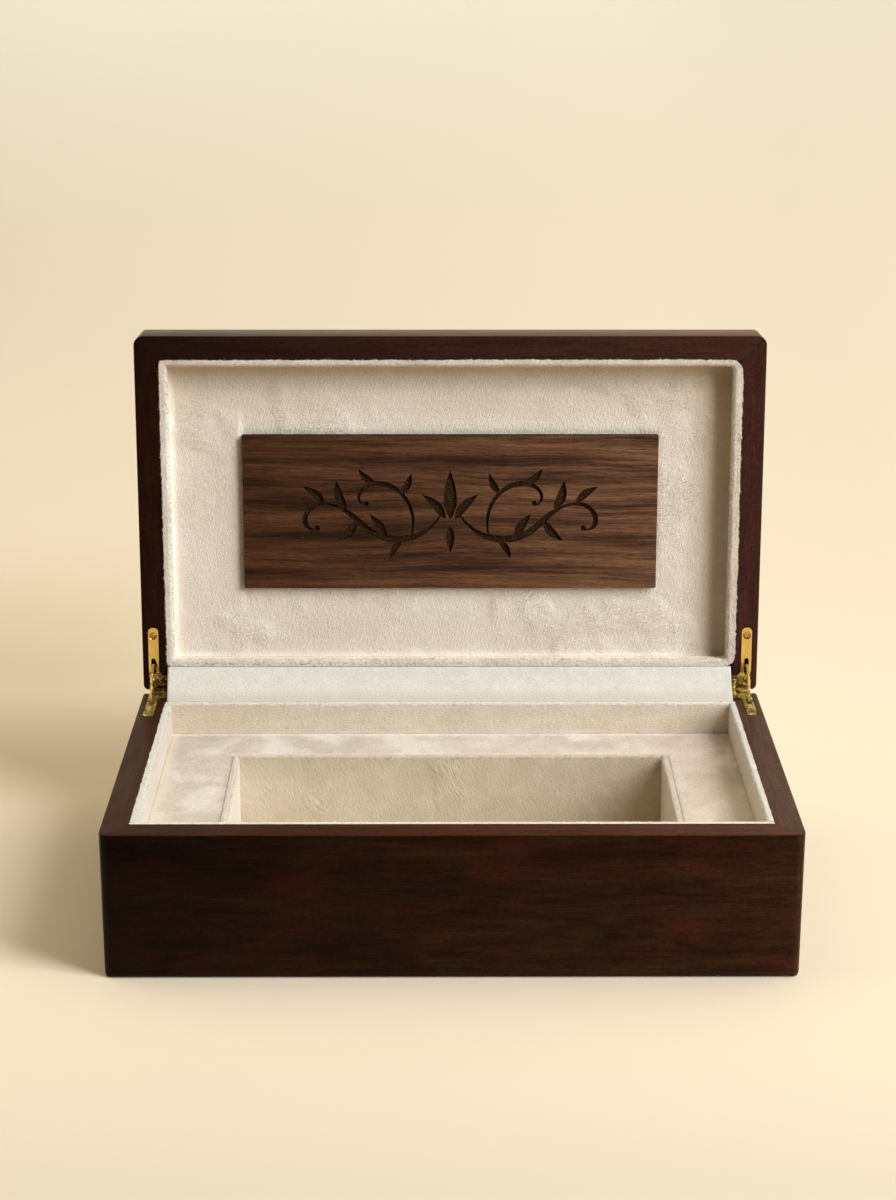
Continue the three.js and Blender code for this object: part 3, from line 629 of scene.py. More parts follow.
# ------------------------------------------------------------------------ suede
def suede(
    name,
    lid=False,
    lean=(0, 0, 0),
    long_axis="z",
    light=(0.86, 0.79, 0.69),
    dark=(0.70, 0.62, 0.50),
    streak=0.25,
    streak_size=(16, 7, 7),
    nap=0.10,
    pebble=0.0,
    seed=0.0,
    nap_len=2.6,
    sheen=0.25,
    relief=1.0,
    pebble_size=0.85,
    wrinkles=0.0,
    nap_wide=0.42,
    grain_size=0.30,
    tints=None,
):
    """Short suede pile: fine strokes of the nap leaning one way, brushed lighter and darker in
    patches. lean turns the strokes, in degrees; pebble adds a coarser leathery grain."""
    look = Look(name, lid=lid)
    v = look.turned(lean)
    thin = {"x": (nap_len, nap_wide, nap_wide), "y": (nap_wide, nap_len, nap_wide), "z": (nap_wide, nap_wide, nap_len)}[long_axis]
    strokes = look.noise(thin, detail=3, rough=0.55, distortion=0.35, vector=v, seed=seed + 1)
    grain = look.noise(grain_size, detail=2, rough=0.6, seed=seed + 2)
    soft = look.noise(11, detail=3, rough=0.55, distortion=0.4, seed=seed + 3)
    wide = look.noise(48, detail=1, rough=0.5, seed=seed + 4)
    brushed = look.noise(streak_size, detail=4, rough=0.62, distortion=0.9, vector=v, seed=seed + 5)
    tone = look.math("MULTIPLY_ADD", soft, 0.55, look.math("MULTIPLY", wide, 0.45))
    colour = look.mix(look.between(tone, 0.36, 0.64), dark, light)
    mark = look.between(brushed, 0.50, 0.68)
    brighter = tuple(min(0.93, c * 1.08 + 0.015) for c in light)
    colour = look.mix(look.math("MULTIPLY", mark, streak), colour, brighter)
    shade = look.math(
        "MULTIPLY_ADD",
        look.math("SUBTRACT", strokes, 0.5),
        nap * 2.4,
        look.math("MULTIPLY_ADD", look.math("SUBTRACT", grain, 0.5), nap * 1.2, 1.0),
    )
    colour = look.scaled(colour, shade)
    if tints:
        colour = tints(look, colour)
    height = look.math("MULTIPLY_ADD", strokes, 0.16 * relief, look.math("MULTIPLY", grain, 0.07 * relief))
    if pebble:
        cells = look.noise((pebble_size, pebble_size, 1.7 * pebble_size), detail=2, rough=0.5, distortion=0.8, vector=v, seed=seed + 6)
        height = look.math("MULTIPLY_ADD", cells, pebble, height)
    if wrinkles:
        w = look.turned((lean[0], lean[1], lean[2] - 38))
        fold = look.noise((2.1, 9, 9), detail=2, rough=0.5, distortion=0.6, vector=w, seed=seed + 7)
        ridge = look.math("SUBTRACT", 1.0, look.math("ABSOLUTE", look.math("MULTIPLY_ADD", fold, 2.0, -1.0)))
        where = look.between(look.noise(34, detail=2, seed=seed + 8), 0.50, 0.66, 0, wrinkles)
        height = look.math("ADD", height, look.math("MULTIPLY", ridge, where))
    normal = look.bump(soft, 0.25)
    normal = look.bump(height, 1.0, strength=0.9, normal=normal)
    return look.set(
        colour=colour,
        roughness=0.95,
        ior=1.3,
        specular=0.2,
        sheen=sheen,
        sheen_roughness=0.6,
        sheen_tint=(1.0, 0.97, 0.92),
        normal=normal,
    )


# ------------------------------------------------------------------------ brass
def brass(name, lid=False, worn=0.0, seed=0.0, patina_below=None, dark=(0.15, 0.068, 0.014), cell=1.5, bright=1.0, head=None, crisp=0.14):
    """Polished brass. worn is how much of it is tarnished and rippled."""
    look = Look(name, lid=lid)
    fine = look.noise((0.35, 7, 0.35), detail=2, rough=0.6, seed=seed + 1)
    cloud = look.noise(2.6, detail=3, rough=0.6, distortion=0.8, seed=seed + 2)
    clean = look.mix(cloud, (0.82, 0.50, 0.12), (0.94, 0.66, 0.22))
    tarnish = look.noise(cell, detail=4, rough=0.65, distortion=1.4, seed=seed + 3)
    mask = look.between(tarnish, 0.67 - 0.28 * worn - crisp / 2, 0.67 - 0.28 * worn + crisp / 2)
    mask = look.math("MULTIPLY", mask, min(1.0, worn * 1.6))
    if patina_below is not None:
        # tarnished towards the pivot, polished at the far end of the strip
        u = look.math("SUBTRACT", AXIS_Y, look.axis("Y"))
        u = look.math("MULTIPLY_ADD", look.math("SUBTRACT", cloud, 0.5), 9.0, u)
        near = look.between(u, patina_below[0], patina_below[1], 1, 0)
        mask = look.math("MULTIPLY", mask, near)
    if bright != 1.0:
        clean = look.scaled(clean, bright)
    colour = look.mix(mask, clean, dark)
    if head is not None:
        # a dark line round the screw's head
        dx = look.math("SUBTRACT", look.axis("X"), head[0])
        dy = look.math("SUBTRACT", look.axis("Y"), head[1])
        r = look.math("SQRT", look.math("ADD", look.math("MULTIPLY", dx, dx), look.math("MULTIPLY", dy, dy)))
        colour = look.mix(look.between(r, 1.20, 1.50, 0, 0.85), colour, (0.10, 0.045, 0.010))
    rough = look.between(mask, 0, 1, 0.15, 0.34)
    rough = look.math("ADD", rough, look.between(fine, 0.3, 0.7, -0.03, 0.05))
    normal = look.bump(fine, 0.012)
    ripple = look.noise(1.1, detail=3, rough=0.6, distortion=1.3, seed=seed + 4)
    if worn:
        if patina_below is None:
            ripple = look.math("MULTIPLY_ADD", look.noise(0.55, detail=2, rough=0.5, distortion=0.6, seed=seed + 5), 0.5, ripple)
        lumps = ripple
        if patina_below is not None:
            lumps = look.math("MULTIPLY", ripple, near)
        normal = look.bump(lumps, (0.95 if lid else 1.9) * worn, normal=normal)
    return look.set(colour=colour, roughness=rough, metallic=1.0, normal=normal)


# ------------------------------------------------------------- finish the frame
# painted light: the left-hand pieces are tinted warmer and the right-hand ones cooler, the right base panel lighter
# too, as the light from the right would make them
wood_x = dark_wood("dark_wood_along_x", "x", seed=1.0, tint=(1.0, 0.94, 0.87), front=True)
wood_back = dark_wood("dark_wood_back", "x", seed=11.0)
wood_left = dark_wood("dark_wood_left", "y", tone=1.15, seed=21.0, tint=(1.04, 0.90, 0.68))
wood_right = dark_wood("dark_wood_right", "y", tone=1.15, seed=31.0, tint=(0.96, 1.27, 1.42))
lid_x = dark_wood("dark_wood_lid_front", "x", lid=True, seed=41.0, rim=0.6, front_highlight=True, tint=(0.86, 0.92, 1.06))
lid_back = dark_wood("dark_wood_lid_back", "x", lid=True, seed=51.0, rim=0.6)
lid_left = dark_wood("dark_wood_lid_left", "y", lid=True, seed=61.0, rim=0.6, tint=(0.95, 0.78, 0.72))
lid_right = dark_wood("dark_wood_lid_right", "y", lid=True, seed=71.0, rim=0.6, tint=(0.82, 0.80, 1.02))
lid_top = dark_wood("dark_wood_lid_top", "x", lid=True, seed=81.0, rim=0.6, front_highlight=True)
board = plain_board()
walnut = plaque_walnut()

finishes = {
    "base_front_panel": wood_x,
    "base_back_panel": wood_back,
    "base_left_panel": wood_left,
    "base_right_panel": wood_right,
    "base_bottom_panel": wood_back,
    "lid_front_rail": lid_x,
    "lid_back_rail": lid_back,
    "lid_left_rail": lid_left,
    "lid_right_rail": lid_right,
    "lid_top_panel": lid_top,
    "lid_plaque": walnut,
}
for n in nodes:
    if n.startswith("tray_batten"):
        finishes[n] = board
for i, side in enumerate(("left", "right")):
    finishes[f"{side}_base_leaf"] = brass(f"brass_{side}_base_leaf", worn=0.70, seed=(9.4, 4.0)[i], dark=(0.050, 0.021, 0.004), cell=1.7, bright=1.3, crisp=0.05)
    finishes[f"{side}_lid_leaf"] = brass(f"brass_{side}_lid_leaf", lid=True, worn=0.72, seed=5.0 + i, dark=(0.065, 0.028, 0.006), patina_below=(6, 11), crisp=0.07)
    finishes[f"{side}_hinge_pin"] = brass(f"brass_{side}_pin", worn=0.4, seed=7.0 + i)
    finishes[f"{side}_stay_arm"] = brass(f"brass_{side}_arm", worn=0.5, seed=9.0 + i)
    for k, place in enumerate(("base_front", "base_wing", "lid_front", "lid_wing")):
        n = f"{side}_{place}_screw"
        on_lid = place.startswith("lid")
        corner = [sum(v) * 500 for v in zip(*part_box(n))]
        if on_lid:
            corner = shut(corner)
        finishes[n] = brass(f"brass_{n}", lid=on_lid, worn=0.3 if on_lid else 0.6, seed=11.0 + 4 * i + k, head=corner[:2])

for n, material in finishes.items():
    nodes[n].data.materials.clear()
    nodes[n].data.materials.append(material)


def smooth_arcs():
    """A node group that shades the rounded edges of a faceted solid smoothly."""
    g = bpy.data.node_groups.new("smooth_arcs", "GeometryNodeTree")
    g.interface.new_socket("Geometry", in_out="INPUT", socket_type="NodeSocketGeometry")
    g.interface.new_socket("Geometry", in_out="OUTPUT", socket_type="NodeSocketGeometry")
    i, o = g.nodes.new("NodeGroupInput"), g.nodes.new("NodeGroupOutput")
    weld = g.nodes.new("GeometryNodeMergeByDistance")
    weld.inputs["Distance"].default_value = 2e-6
    face = g.nodes.new("GeometryNodeSetShadeSmooth")
    face.domain = "FACE"
    edge = g.nodes.new("GeometryNodeSetShadeSmooth")
    edge.domain = "EDGE"
    angle = g.nodes.new("GeometryNodeInputMeshEdgeAngle")
    sharp = g.nodes.new("FunctionNodeCompare")
    sharp.data_type = "FLOAT"
    sharp.operation = "LESS_THAN"
    g.links.new(angle.outputs["Unsigned Angle"], sharp.inputs[0])
    sharp.inputs[1].default_value = math.radians(32)
    g.links.new(i.outputs[0], weld.inputs["Geometry"])
    g.links.new(weld.outputs[0], face.inputs["Geometry"])
    face.inputs["Shade Smooth"].default_value = True
    g.links.new(face.outputs[0], edge.inputs["Geometry"])
    g.links.new(sharp.outputs[0], edge.inputs["Shade Smooth"])
    g.links.new(edge.outputs[0], o.inputs[0])
    return g


arcs = smooth_arcs()
for n in finishes:
    m = nodes[n].modifiers.new("smooth_arcs", "NODES")
    m.node_group = arcs
    if n.endswith("_leaf") or n.endswith("_arm"):
        eased = nodes[n].modifiers.new("eased_edges", "BEVEL")
        eased.width = 0.00016
        eased.segments = 2
        eased.limit_method = "ANGLE"
        eased.angle_limit = math.radians(40)

# ---------------------------------------------------------------- base linings
def painted_wall_light(look, colour):
    """Painted light: a painted highlight on the upper edge, where it faces the light, and painted shade, a little
    darker, at the left end.
    """
    colour = look.mix(look.between(look.axis("Z"), 65.3, 66.5), colour, (0.76, 0.72, 0.66))
    return look.mix(look.between(look.axis("X"), -50, -125), colour, look.mix(1.0, colour, (0.945, 0.925, 0.895), blend="MULTIPLY"))


suede_back = suede("suede_back_wall", long_axis="x", lean=(0, 3, 0), seed=1, light=(0.80, 0.69, 0.555), dark=(0.72, 0.61, 0.475), streak=0.35, streak_size=(60, 8, 2.4), nap=0.12, nap_len=1.6, nap_wide=0.7, grain_size=0.7, relief=2.2, pebble=0.10, tints=painted_wall_light)
# painted highlight: the side walls are lighter along their upper edges, where these face the light; and the left wall's
# copy of this suede is painted darker, painted shade
suede_side = suede("suede_side_walls", lean=(20, 0, 0), seed=2, light=(0.635, 0.585, 0.515), dark=(0.585, 0.53, 0.455), streak=0.3, nap=0.12, nap_wide=0.7, grain_size=0.7, tints=lambda look, colour: look.mix(look.between(look.axis("Z"), 64.4, 66.4), colour, (0.66, 0.63, 0.585)))
suede_left = suede("suede_left_wall", lean=(20, 0, 0), seed=2, light=(0.545, 0.500, 0.440), dark=(0.500, 0.450, 0.385), streak=0.3, nap=0.12, nap_wide=0.7, grain_size=0.7, tints=lambda look, colour: look.mix(look.between(look.axis("Z"), 64.2, 66.2), colour, (0.62, 0.59, 0.545)))
suede_front = suede("suede_front_wall", lean=(0, 20, 0), seed=3, light=(0.74, 0.69, 0.62), dark=(0.69, 0.63, 0.545), nap=0.07)

Z_LOW = 6.1
TOP = 66.8 + 0.12


def lined_board(name, node, along, a, b, t_in, t_out, z1, material, seed, r_top=1.35, z0=Z_LOW, step=0.55, fluff=1.0, r_end=0.5, r_out=None, outer=0, rough_edge=0.0, nap_on=8.0, lip=0.0):
    """A suede-wrapped board with its upper edge rounded over, standing where its solid stands."""
    lo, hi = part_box(node)
    lo, hi = np.array(lo) * 1000, np.array(hi) * 1000
    t0, t1 = min(t_in, t_out), max(t_in, t_out)
    section = board_section(t0, t1, z0, z1, r_top, r_out=r_out, outer=outer)
    pts, faces = swept_bar(section, along, a, b, step, r_end=r_end)
    faces = oriented(pts, faces)

    def amount(p):
        top = np.clip((p[:, 2] - (z1 - 2.6)) / 1.6, 0, 1)
        tufts = 0.6 * noise(p, 0.8, seed + 5) + 0.4 * noise(p, 2.1, seed + 6)
        return fuzz(p, seed) * (0.35 + 0.9 * top * fluff) + rough_edge * top * tufts

    slack = np.array([0.5, 0.09, 0.0] if along == "x" else [0.09, 0.5, 0.0])
    flat_top = pts[:, 2] > z1 - 0.12
    pts = pile(pts, faces, amount, lo - slack - (0, 0, 0.05), hi + slack + (0, 0, 0.30), seed)
    pts[:, 2] = np.where(flat_top, z1 + 0.45 * (pts[:, 2] - z1), pts[:, 2])
    if lip:
        # the cloth's raw edge lies a hair's breadth over the wood, unevenly
        k = 1 if along == "x" else 0
        away = 1.0 if outer else -1.0
        edge = np.clip(1 - np.abs(pts[:, k] - (t1 if outer else t0)) / 1.5, 0, 1) * flat_top
        here = pts * np.array([1.0, 0.15, 0.0] if along == "x" else [0.15, 1.0, 0.0])
        reach = 0.16 + 0.30 * noise(here, 1.3, seed + 7) + 0.24 * noise(here, 3.4, seed + 8) + 0.12 * noise(here, 12, seed + 9)
        pts[:, k] += away * edge * np.clip(reach, 0.0, 0.55) * lip
        pts[:, 2] = np.where(flat_top, np.maximum(pts[:, 2], z1 + 0.13 * edge), pts[:, 2])
    roll = z1 - min(r_top, 1.0)

    def density(p):
        return nap_on * np.clip((p[:, 2] - roll + 0.5) / 0.6, 0, 1)

    if nap_on:
        reach = np.array([0.6, 0.6, 0.0])
        pts, faces = with_nap(pts, faces, density, 0.80, seed + 900, lo - reach, hi + reach + (0, 0, 0.33), width=0.11)
    ob = new_object(name, pts, faces, material)
    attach(ob, "base")
    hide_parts(node)
    return ob


lined_board("lining_front_cloth", "base_lining_front", "x", -LIN_X, LIN_X, -LIN_Y, -LIN_Y + 3, TOP, suede_front, 11, r_out=0.35, outer=0, rough_edge=0.10, r_end=0.3, step=0.45, lip=0.8)
lined_board("lining_back_cloth", "base_lining_back", "x", -LIN_X, LIN_X, LIN_Y - 3, LIN_Y, TOP, suede_back, 13, r_top=1.0, r_out=0.3, outer=1, rough_edge=0.16, r_end=0.3, step=0.45)
lined_board("lining_left_cloth", "base_lining_left", "y", -IN_Y - 0.35, IN_Y + 0.35, -LIN_X, -LIN_X + 3, TOP, suede_left, 15, r_end=0.15, r_out=0.35, outer=0, rough_edge=0.12, step=0.45, lip=1.0)
lined_board("lining_right_cloth", "base_lining_right", "y", -IN_Y - 0.35, IN_Y + 0.35, LIN_X - 3, LIN_X, TOP, suede_side, 17, r_end=0.15, r_out=0.45, outer=1, rough_edge=0.12, step=0.45, lip=1.0)

# ------------------------------------------------------------ platform and well
def crushed(look, colour):
    """Crushed velvet, in painted sheen: lighter silvery patches and darker ones where the pile lies another way. Also
    painted light, lighter towards the right, painted shade next to the left wall, and lighter bands along the back edge
    and behind the well's opening.
    """
    v = look.turned((0, 0, 28))
    patch = look.noise((22, 30, 20), detail=2, rough=0.5, distortion=0.5, vector=v, seed=4.6)
    strokes = look.noise((1.4, 5.0, 1.4), detail=3, rough=0.6, distortion=0.4, vector=v, seed=4.8)
    crest = look.math("MULTIPLY_ADD", patch, 0.78, look.math("MULTIPLY", strokes, 0.22))
    fluff = look.math("MULTIPLY_ADD", look.math("SUBTRACT", look.noise((0.5, 1.1, 0.6), detail=2, rough=0.6, vector=v, seed=4.7), 0.5), 0.16, crest)
    # painted sheen: lighter silvery patches and darker ones where the pile lies another way
    colour = look.mix(look.between(fluff, 0.49, 0.66, 0, 0.70), colour, (0.745, 0.705, 0.655))
    colour = look.mix(look.between(fluff, 0.49, 0.38, 0, 0.35), colour, (0.470, 0.405, 0.335))
    x, y = look.axis("X"), look.axis("Y")
    # painted light: lighter towards the right
    side = look.ramp(look.between(x, -130, 130, smooth=False), [(0.0, (0.90, 0.885, 0.885)), (0.35, (1.0, 1.0, 1.0)), (0.75, (1.04, 1.03, 1.02)), (1.0, (1.13, 1.10, 1.08))])
    colour = look.mix(1.0, colour, side, blend="MULTIPLY")
    wobble = look.math("MULTIPLY", look.math("SUBTRACT", look.noise(3.0, detail=3, rough=0.6, seed=4.9), 0.5), 3.0)
    # painted shade: darker next to the left wall
    near_left = look.between(look.math("ADD", x, wobble), -128, -134, 0, 0.8)
    colour = look.mix(near_left, colour, (0.63, 0.55, 0.44))
    # lighter bands along the back edge and just behind the well's opening
    back = look.between(look.math("ADD", y, wobble), 67.8, 70.4, 0, 0.6)
    hole = look.math("MULTIPLY", look.between(look.math("ADD", y, wobble), 44.2, 47.2, 0.65, 0), look.between(look.math("ABSOLUTE", x), 103.5, 104.5, 1, 0))
    hole = look.math("MULTIPLY", hole, look.between(y, 43.0, 43.6))
    return look.mix(look.math("MAXIMUM", back, hole), colour, (0.76, 0.725, 0.68))


suede_platform = suede(
    "suede_platform",
    lean=(0, 0, 32),
    long_axis="y",
    seed=4,
    light=(0.600, 0.535, 0.470),
    dark=(0.500, 0.435, 0.375),
    streak=0.0,
    nap=0.14,
    nap_len=1.9,
    nap_wide=0.7,
    grain_size=0.7,
    relief=2.0,
    tints=crushed,
)
suede_well = suede("suede_well_back", lean=(0, 28, 0), seed=5, light=(0.665, 0.575, 0.455), dark=(0.600, 0.507, 0.388), streak=0.15, nap=0.08, nap_wide=0.6, grain_size=0.6, pebble=0.26, pebble_size=0.75, wrinkles=0.65)
suede_well_side = suede("suede_well_sides", lean=(20, 0, 0), seed=6, light=(0.63, 0.575, 0.505), dark=(0.575, 0.515, 0.435), streak=0.2, nap=0.06, pebble=0.05)
suede_floor = suede("suede_well_floor", lean=(0, 0, 10), long_axis="y", seed=7, light=(0.72, 0.645, 0.54), dark=(0.64, 0.56, 0.45), nap=0.06, streak=0.5)


def platform():
    """The tray platform: one covered board with the well's opening, its edges rolled over."""
    wx, wy = 103.1, 44.1
    z1, z0 = PLATFORM_Z, PLATFORM_Z - 5.0
    r_hole, r_wall = 0.75, 0.25
    inner_width = IN_X - wx
    cells = 38
    section = [(0.0, z0 + 0.3), (0.0, z1 - 2.2)]
    # t runs from the outer edge (0) to the opening (1)
    w = inner_width
    section += [(r_wall * (1 - math.cos(a)) / w, z1 - r_wall * (1 - math.sin(a))) for a in [math.radians(15 * k) for k in range(0, 7)]]
    t0, t1 = section[-1][0], 1 - r_hole / w
    section += [(t0 + (t1 - t0) * k / cells, z1) for k in range(1, cells)]
    section += [(t1 + r_hole * math.sin(a) / w, z1 - r_hole * (1 - math.cos(a))) for a in [math.radians(18 * k) for k in range(0, 6)]]
    section += [(1.0, z1 - 2.2), (1.0, z0 + 0.3), (0.995, z0), (0.5, z0), (0.005, z0)]
    pts, faces = swept_ring(
        (IN_X + 0.14, IN_Y + 0.14, [0.3] * 4),
        (wx, wy, [0.35] * 4),
        section,
        0.9,
    )
    faces = oriented(pts, faces)

    def amount(p):
        ex = np.minimum(IN_X - np.abs(p[:, 0]), 99)
        ey = np.minimum(IN_Y - np.abs(p[:, 1]), 99)
        edge = np.clip(np.minimum(ex, ey) / 4, 0, 1)
        mouth = np.clip(1 - np.maximum(np.abs(p[:, 0]) - wx, np.abs(p[:, 1]) - wy) / 1.6, 0, 1)
        tufts = 0.6 * noise(p, 0.9, 24) + 0.4 * noise(p, 2.3, 25)
        brim = np.maximum(mouth, 1 - np.clip(np.minimum(ex, ey) / 1.5, 0, 1))
        return fuzz(p, 21, fine=0.05, coarse=0.10) + 0.10 * edge * noise(p, 26, 23) + 0.16 * brim * tufts + 0.06 * brim

    pts = pile(pts, faces, amount, (-IN_X - 0.17, -IN_Y - 0.17, z0), (IN_X + 0.17, IN_Y + 0.17, z1 + 0.42), 21)
    reach = lambda p: np.maximum(np.abs(p[:, 0]) - wx, np.abs(p[:, 1]) - wy)

    def density(p):
        rim = np.clip(1.6 - reach(p), 0, 1) + np.clip(np.abs(p[:, 1]) - IN_Y + 1.4, 0, 1) + np.clip(np.abs(p[:, 0]) - IN_X + 1.0, 0, 1)
        return np.where(p[:, 2] > z1 - 1.2, 0.9 + 7.0 * np.clip(rim, 0, 1), 0)

    pts, faces = with_nap(pts, faces, density, 0.60, 921, (-135, -72, z0), (135, 72, z1 + 0.75), lean=(0.15, -0.1, 0), width=0.08)
    ob = new_object("platform_cloth", pts, faces, suede_platform)
    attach(ob, "base")
    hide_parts("tray_platform")


platform()
WELL_TOP = PLATFORM_Z + 0.05
lined_board("well_left_cloth", "well_wall_left", "y", -44, 44, -103, -100, WELL_TOP + 0.1, suede_well_side, 31, r_top=1.2, r_out=0.7, outer=0, step=0.6, rough_edge=0.14)
lined_board("well_right_cloth", "well_wall_right", "y", -44, 44, 100, 103, WELL_TOP + 0.1, suede_well_side, 33, r_top=1.2, r_out=0.3, outer=1, step=0.6, rough_edge=0.14)
lined_board("well_front_cloth", "well_wall_front", "x", -100.0, 100.0, -44, -41, WELL_TOP + 0.1, suede_well, 35, r_top=1.0, r_out=0.4, outer=0, step=0.6, r_end=0.05, rough_edge=0.14)
lined_board("well_back_cloth", "well_wall_back", "x", -100.0, 100.0, 41, 44, WELL_TOP + 0.15, suede_well, 37, r_top=1.1, r_out=0.35, outer=1, step=0.5, r_end=0.05, rough_edge=0.22)


def soft_plate(name, node, body, lo, hi, r, step, material, seed, amount, lid=False, fill=0.9):
    """A covered plate with rounded edges and a finely divided upper face."""
    lo, hi = np.array(lo, float), np.array(hi, float)
    hx, hy = (hi[0] - lo[0]) / 2, (hi[1] - lo[1]) / 2
    cx, cy = (hi[0] + lo[0]) / 2, (hi[1] + lo[1]) / 2
    nx, ny = max(2, int(2 * hx / step)), max(2, int(2 * hy / step))
    xs = np.linspace(-hx, hx, nx + 1)
    ys = np.linspace(-hy, hy, ny + 1)
    gx, gy = np.meshgrid(xs, ys, indexing="ij")
    pts = [np.stack([gx.ravel(), gy.ravel(), np.full(gx.size, hi[2])], 1)]
    faces = []
    idx = np.arange(gx.size).reshape(gx.shape)
    faces += np.stack([idx[:-1, :-1], idx[1:, :-1], idx[1:, 1:], idx[:-1, 1:]], -1).reshape(-1, 4).tolist()
    border = list(idx[:, 0]) + list(idx[-1, 1:]) + list(idx[-2::-1, -1]) + list(idx[0, -2:0:-1])
    ring = np.concatenate(pts)[border]
    n = len(border)
    last = border
    count = gx.size
    for z in (hi[2] - 1.5 * r - 0.3, lo[2] + 0.3, lo[2]):
        row = ring.copy()
        row[:, 2] = z
        pts.append(row)
        cur = list(range(count, count + n))
        for k in range(n):
            m = (k + 1) % n
            faces.append([last[m], last[k], cur[k], cur[m]])
        last = cur
        count += n
    faces.append(list(last))
    pts = np.concatenate(pts)
    # round the upper edge
    q = np.stack([np.clip(pts[:, 0], -hx + r, hx - r), np.clip(pts[:, 1], -hy + r, hy - r), np.minimum(pts[:, 2], hi[2] - r)], 1)
    d = pts - q
    length = np.linalg.norm(d, axis=1)
    near = length > r
    pts[near] = q[near] + d[near] / length[near][:, None] * r
    pts[:, 0] += cx
    pts[:, 1] += cy
    faces = oriented(pts, faces)
    n_ = normals_of(pts, [f for f in faces if len(f) <= 4])
    pts = pts + n_ * amount(pts)[:, None]
    return pts, faces


def well_floor():
    lo, hi = (-99.9, -40.9, 6.1), (99.9, 40.9, 10.0)
    pts, faces = soft_plate("floor", None, None, lo, hi, 0.8, 1.6, None, 41, lambda p: fuzz(p, 41, 0.04, 0.1))
    pts = np.minimum(np.maximum(pts, np.array(lo) - 0.03), np.array(hi) + (0.03, 0.03, 0.2))
    ob = new_object("well_floor_cloth", pts, faces, suede_floor)
    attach(ob, "base")
    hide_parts("well_floor")


well_floor()

# ------------------------------------------------------------------ lid linings
def painted_cove_shade(look, colour):
    """Painted shade: the cloth is darker and browner along the lid's front and right edges, where the lining boards
    shade it.
    """
    x, y = look.axis("X"), look.axis("Y")
    up = look.ramp(look.between(y, -72.5, -44.5, smooth=False), [(0.0, (0.80, 0.72, 0.63)), (0.19, (0.78, 0.72, 0.65)), (0.38, (0.82, 0.78, 0.73)), (0.50, (0.91, 0.88, 0.84)), (0.75, (0.95, 0.925, 0.90)), (1.0, (1.0, 1.0, 1.0))])
    across = look.ramp(look.between(x, 112, 134.5, smooth=False), [(0.0, (1.0, 1.0, 1.0)), (0.4, (0.90, 0.87, 0.82)), (0.75, (0.74, 0.67, 0.60)), (1.0, (0.70, 0.63, 0.55))])
    colour = look.mix(1.0, colour, up, blend="MULTIPLY")
    return look.mix(1.0, colour, across, blend="MULTIPLY")


def seam(look, colour):
    """Faint brown specks along the seam next to the hinge strip."""
    x, y = look.axis("X"), look.axis("Y")
    line = look.math("MULTIPLY", look.between(y, 72.9, 73.5), look.between(look.axis("Z"), 67.7, 67.4))
    where = look.math("MULTIPLY", line, look.between(x, 40, -70, 0.25, 0.9))
    specks = look.between(look.noise((1.5, 0.6, 0.6), detail=2, rough=0.7, seed=8.8), 0.53, 0.66)
    return look.mix(look.math("MULTIPLY", where, specks), colour, (0.33, 0.245, 0.15))


suede_roll = suede("suede_lid_roll", lid=True, lean=(0, 0, 20), long_axis="y", seed=8, light=(0.80, 0.73, 0.64), dark=(0.70, 0.62, 0.52), streak=0.4, nap=0.20, nap_len=1.3, nap_wide=0.8, grain_size=0.75, relief=3.2, tints=seam)
suede_pad = suede(
    "suede_lid_pad",
    lid=True,
    lean=(0, 0, -27),
    long_axis="y",
    seed=9,
    light=(0.862, 0.772, 0.670),
    dark=(0.800, 0.706, 0.598),
    streak=0.10,
    streak_size=(6, 12, 9),
    nap=0.12,
    nap_len=2.3,
    nap_wide=0.75,
    grain_size=0.55,
    relief=2.9,
    pebble=0.20,
    pebble_size=0.80,
    wrinkles=0.75,
    tints=painted_cove_shade,
)


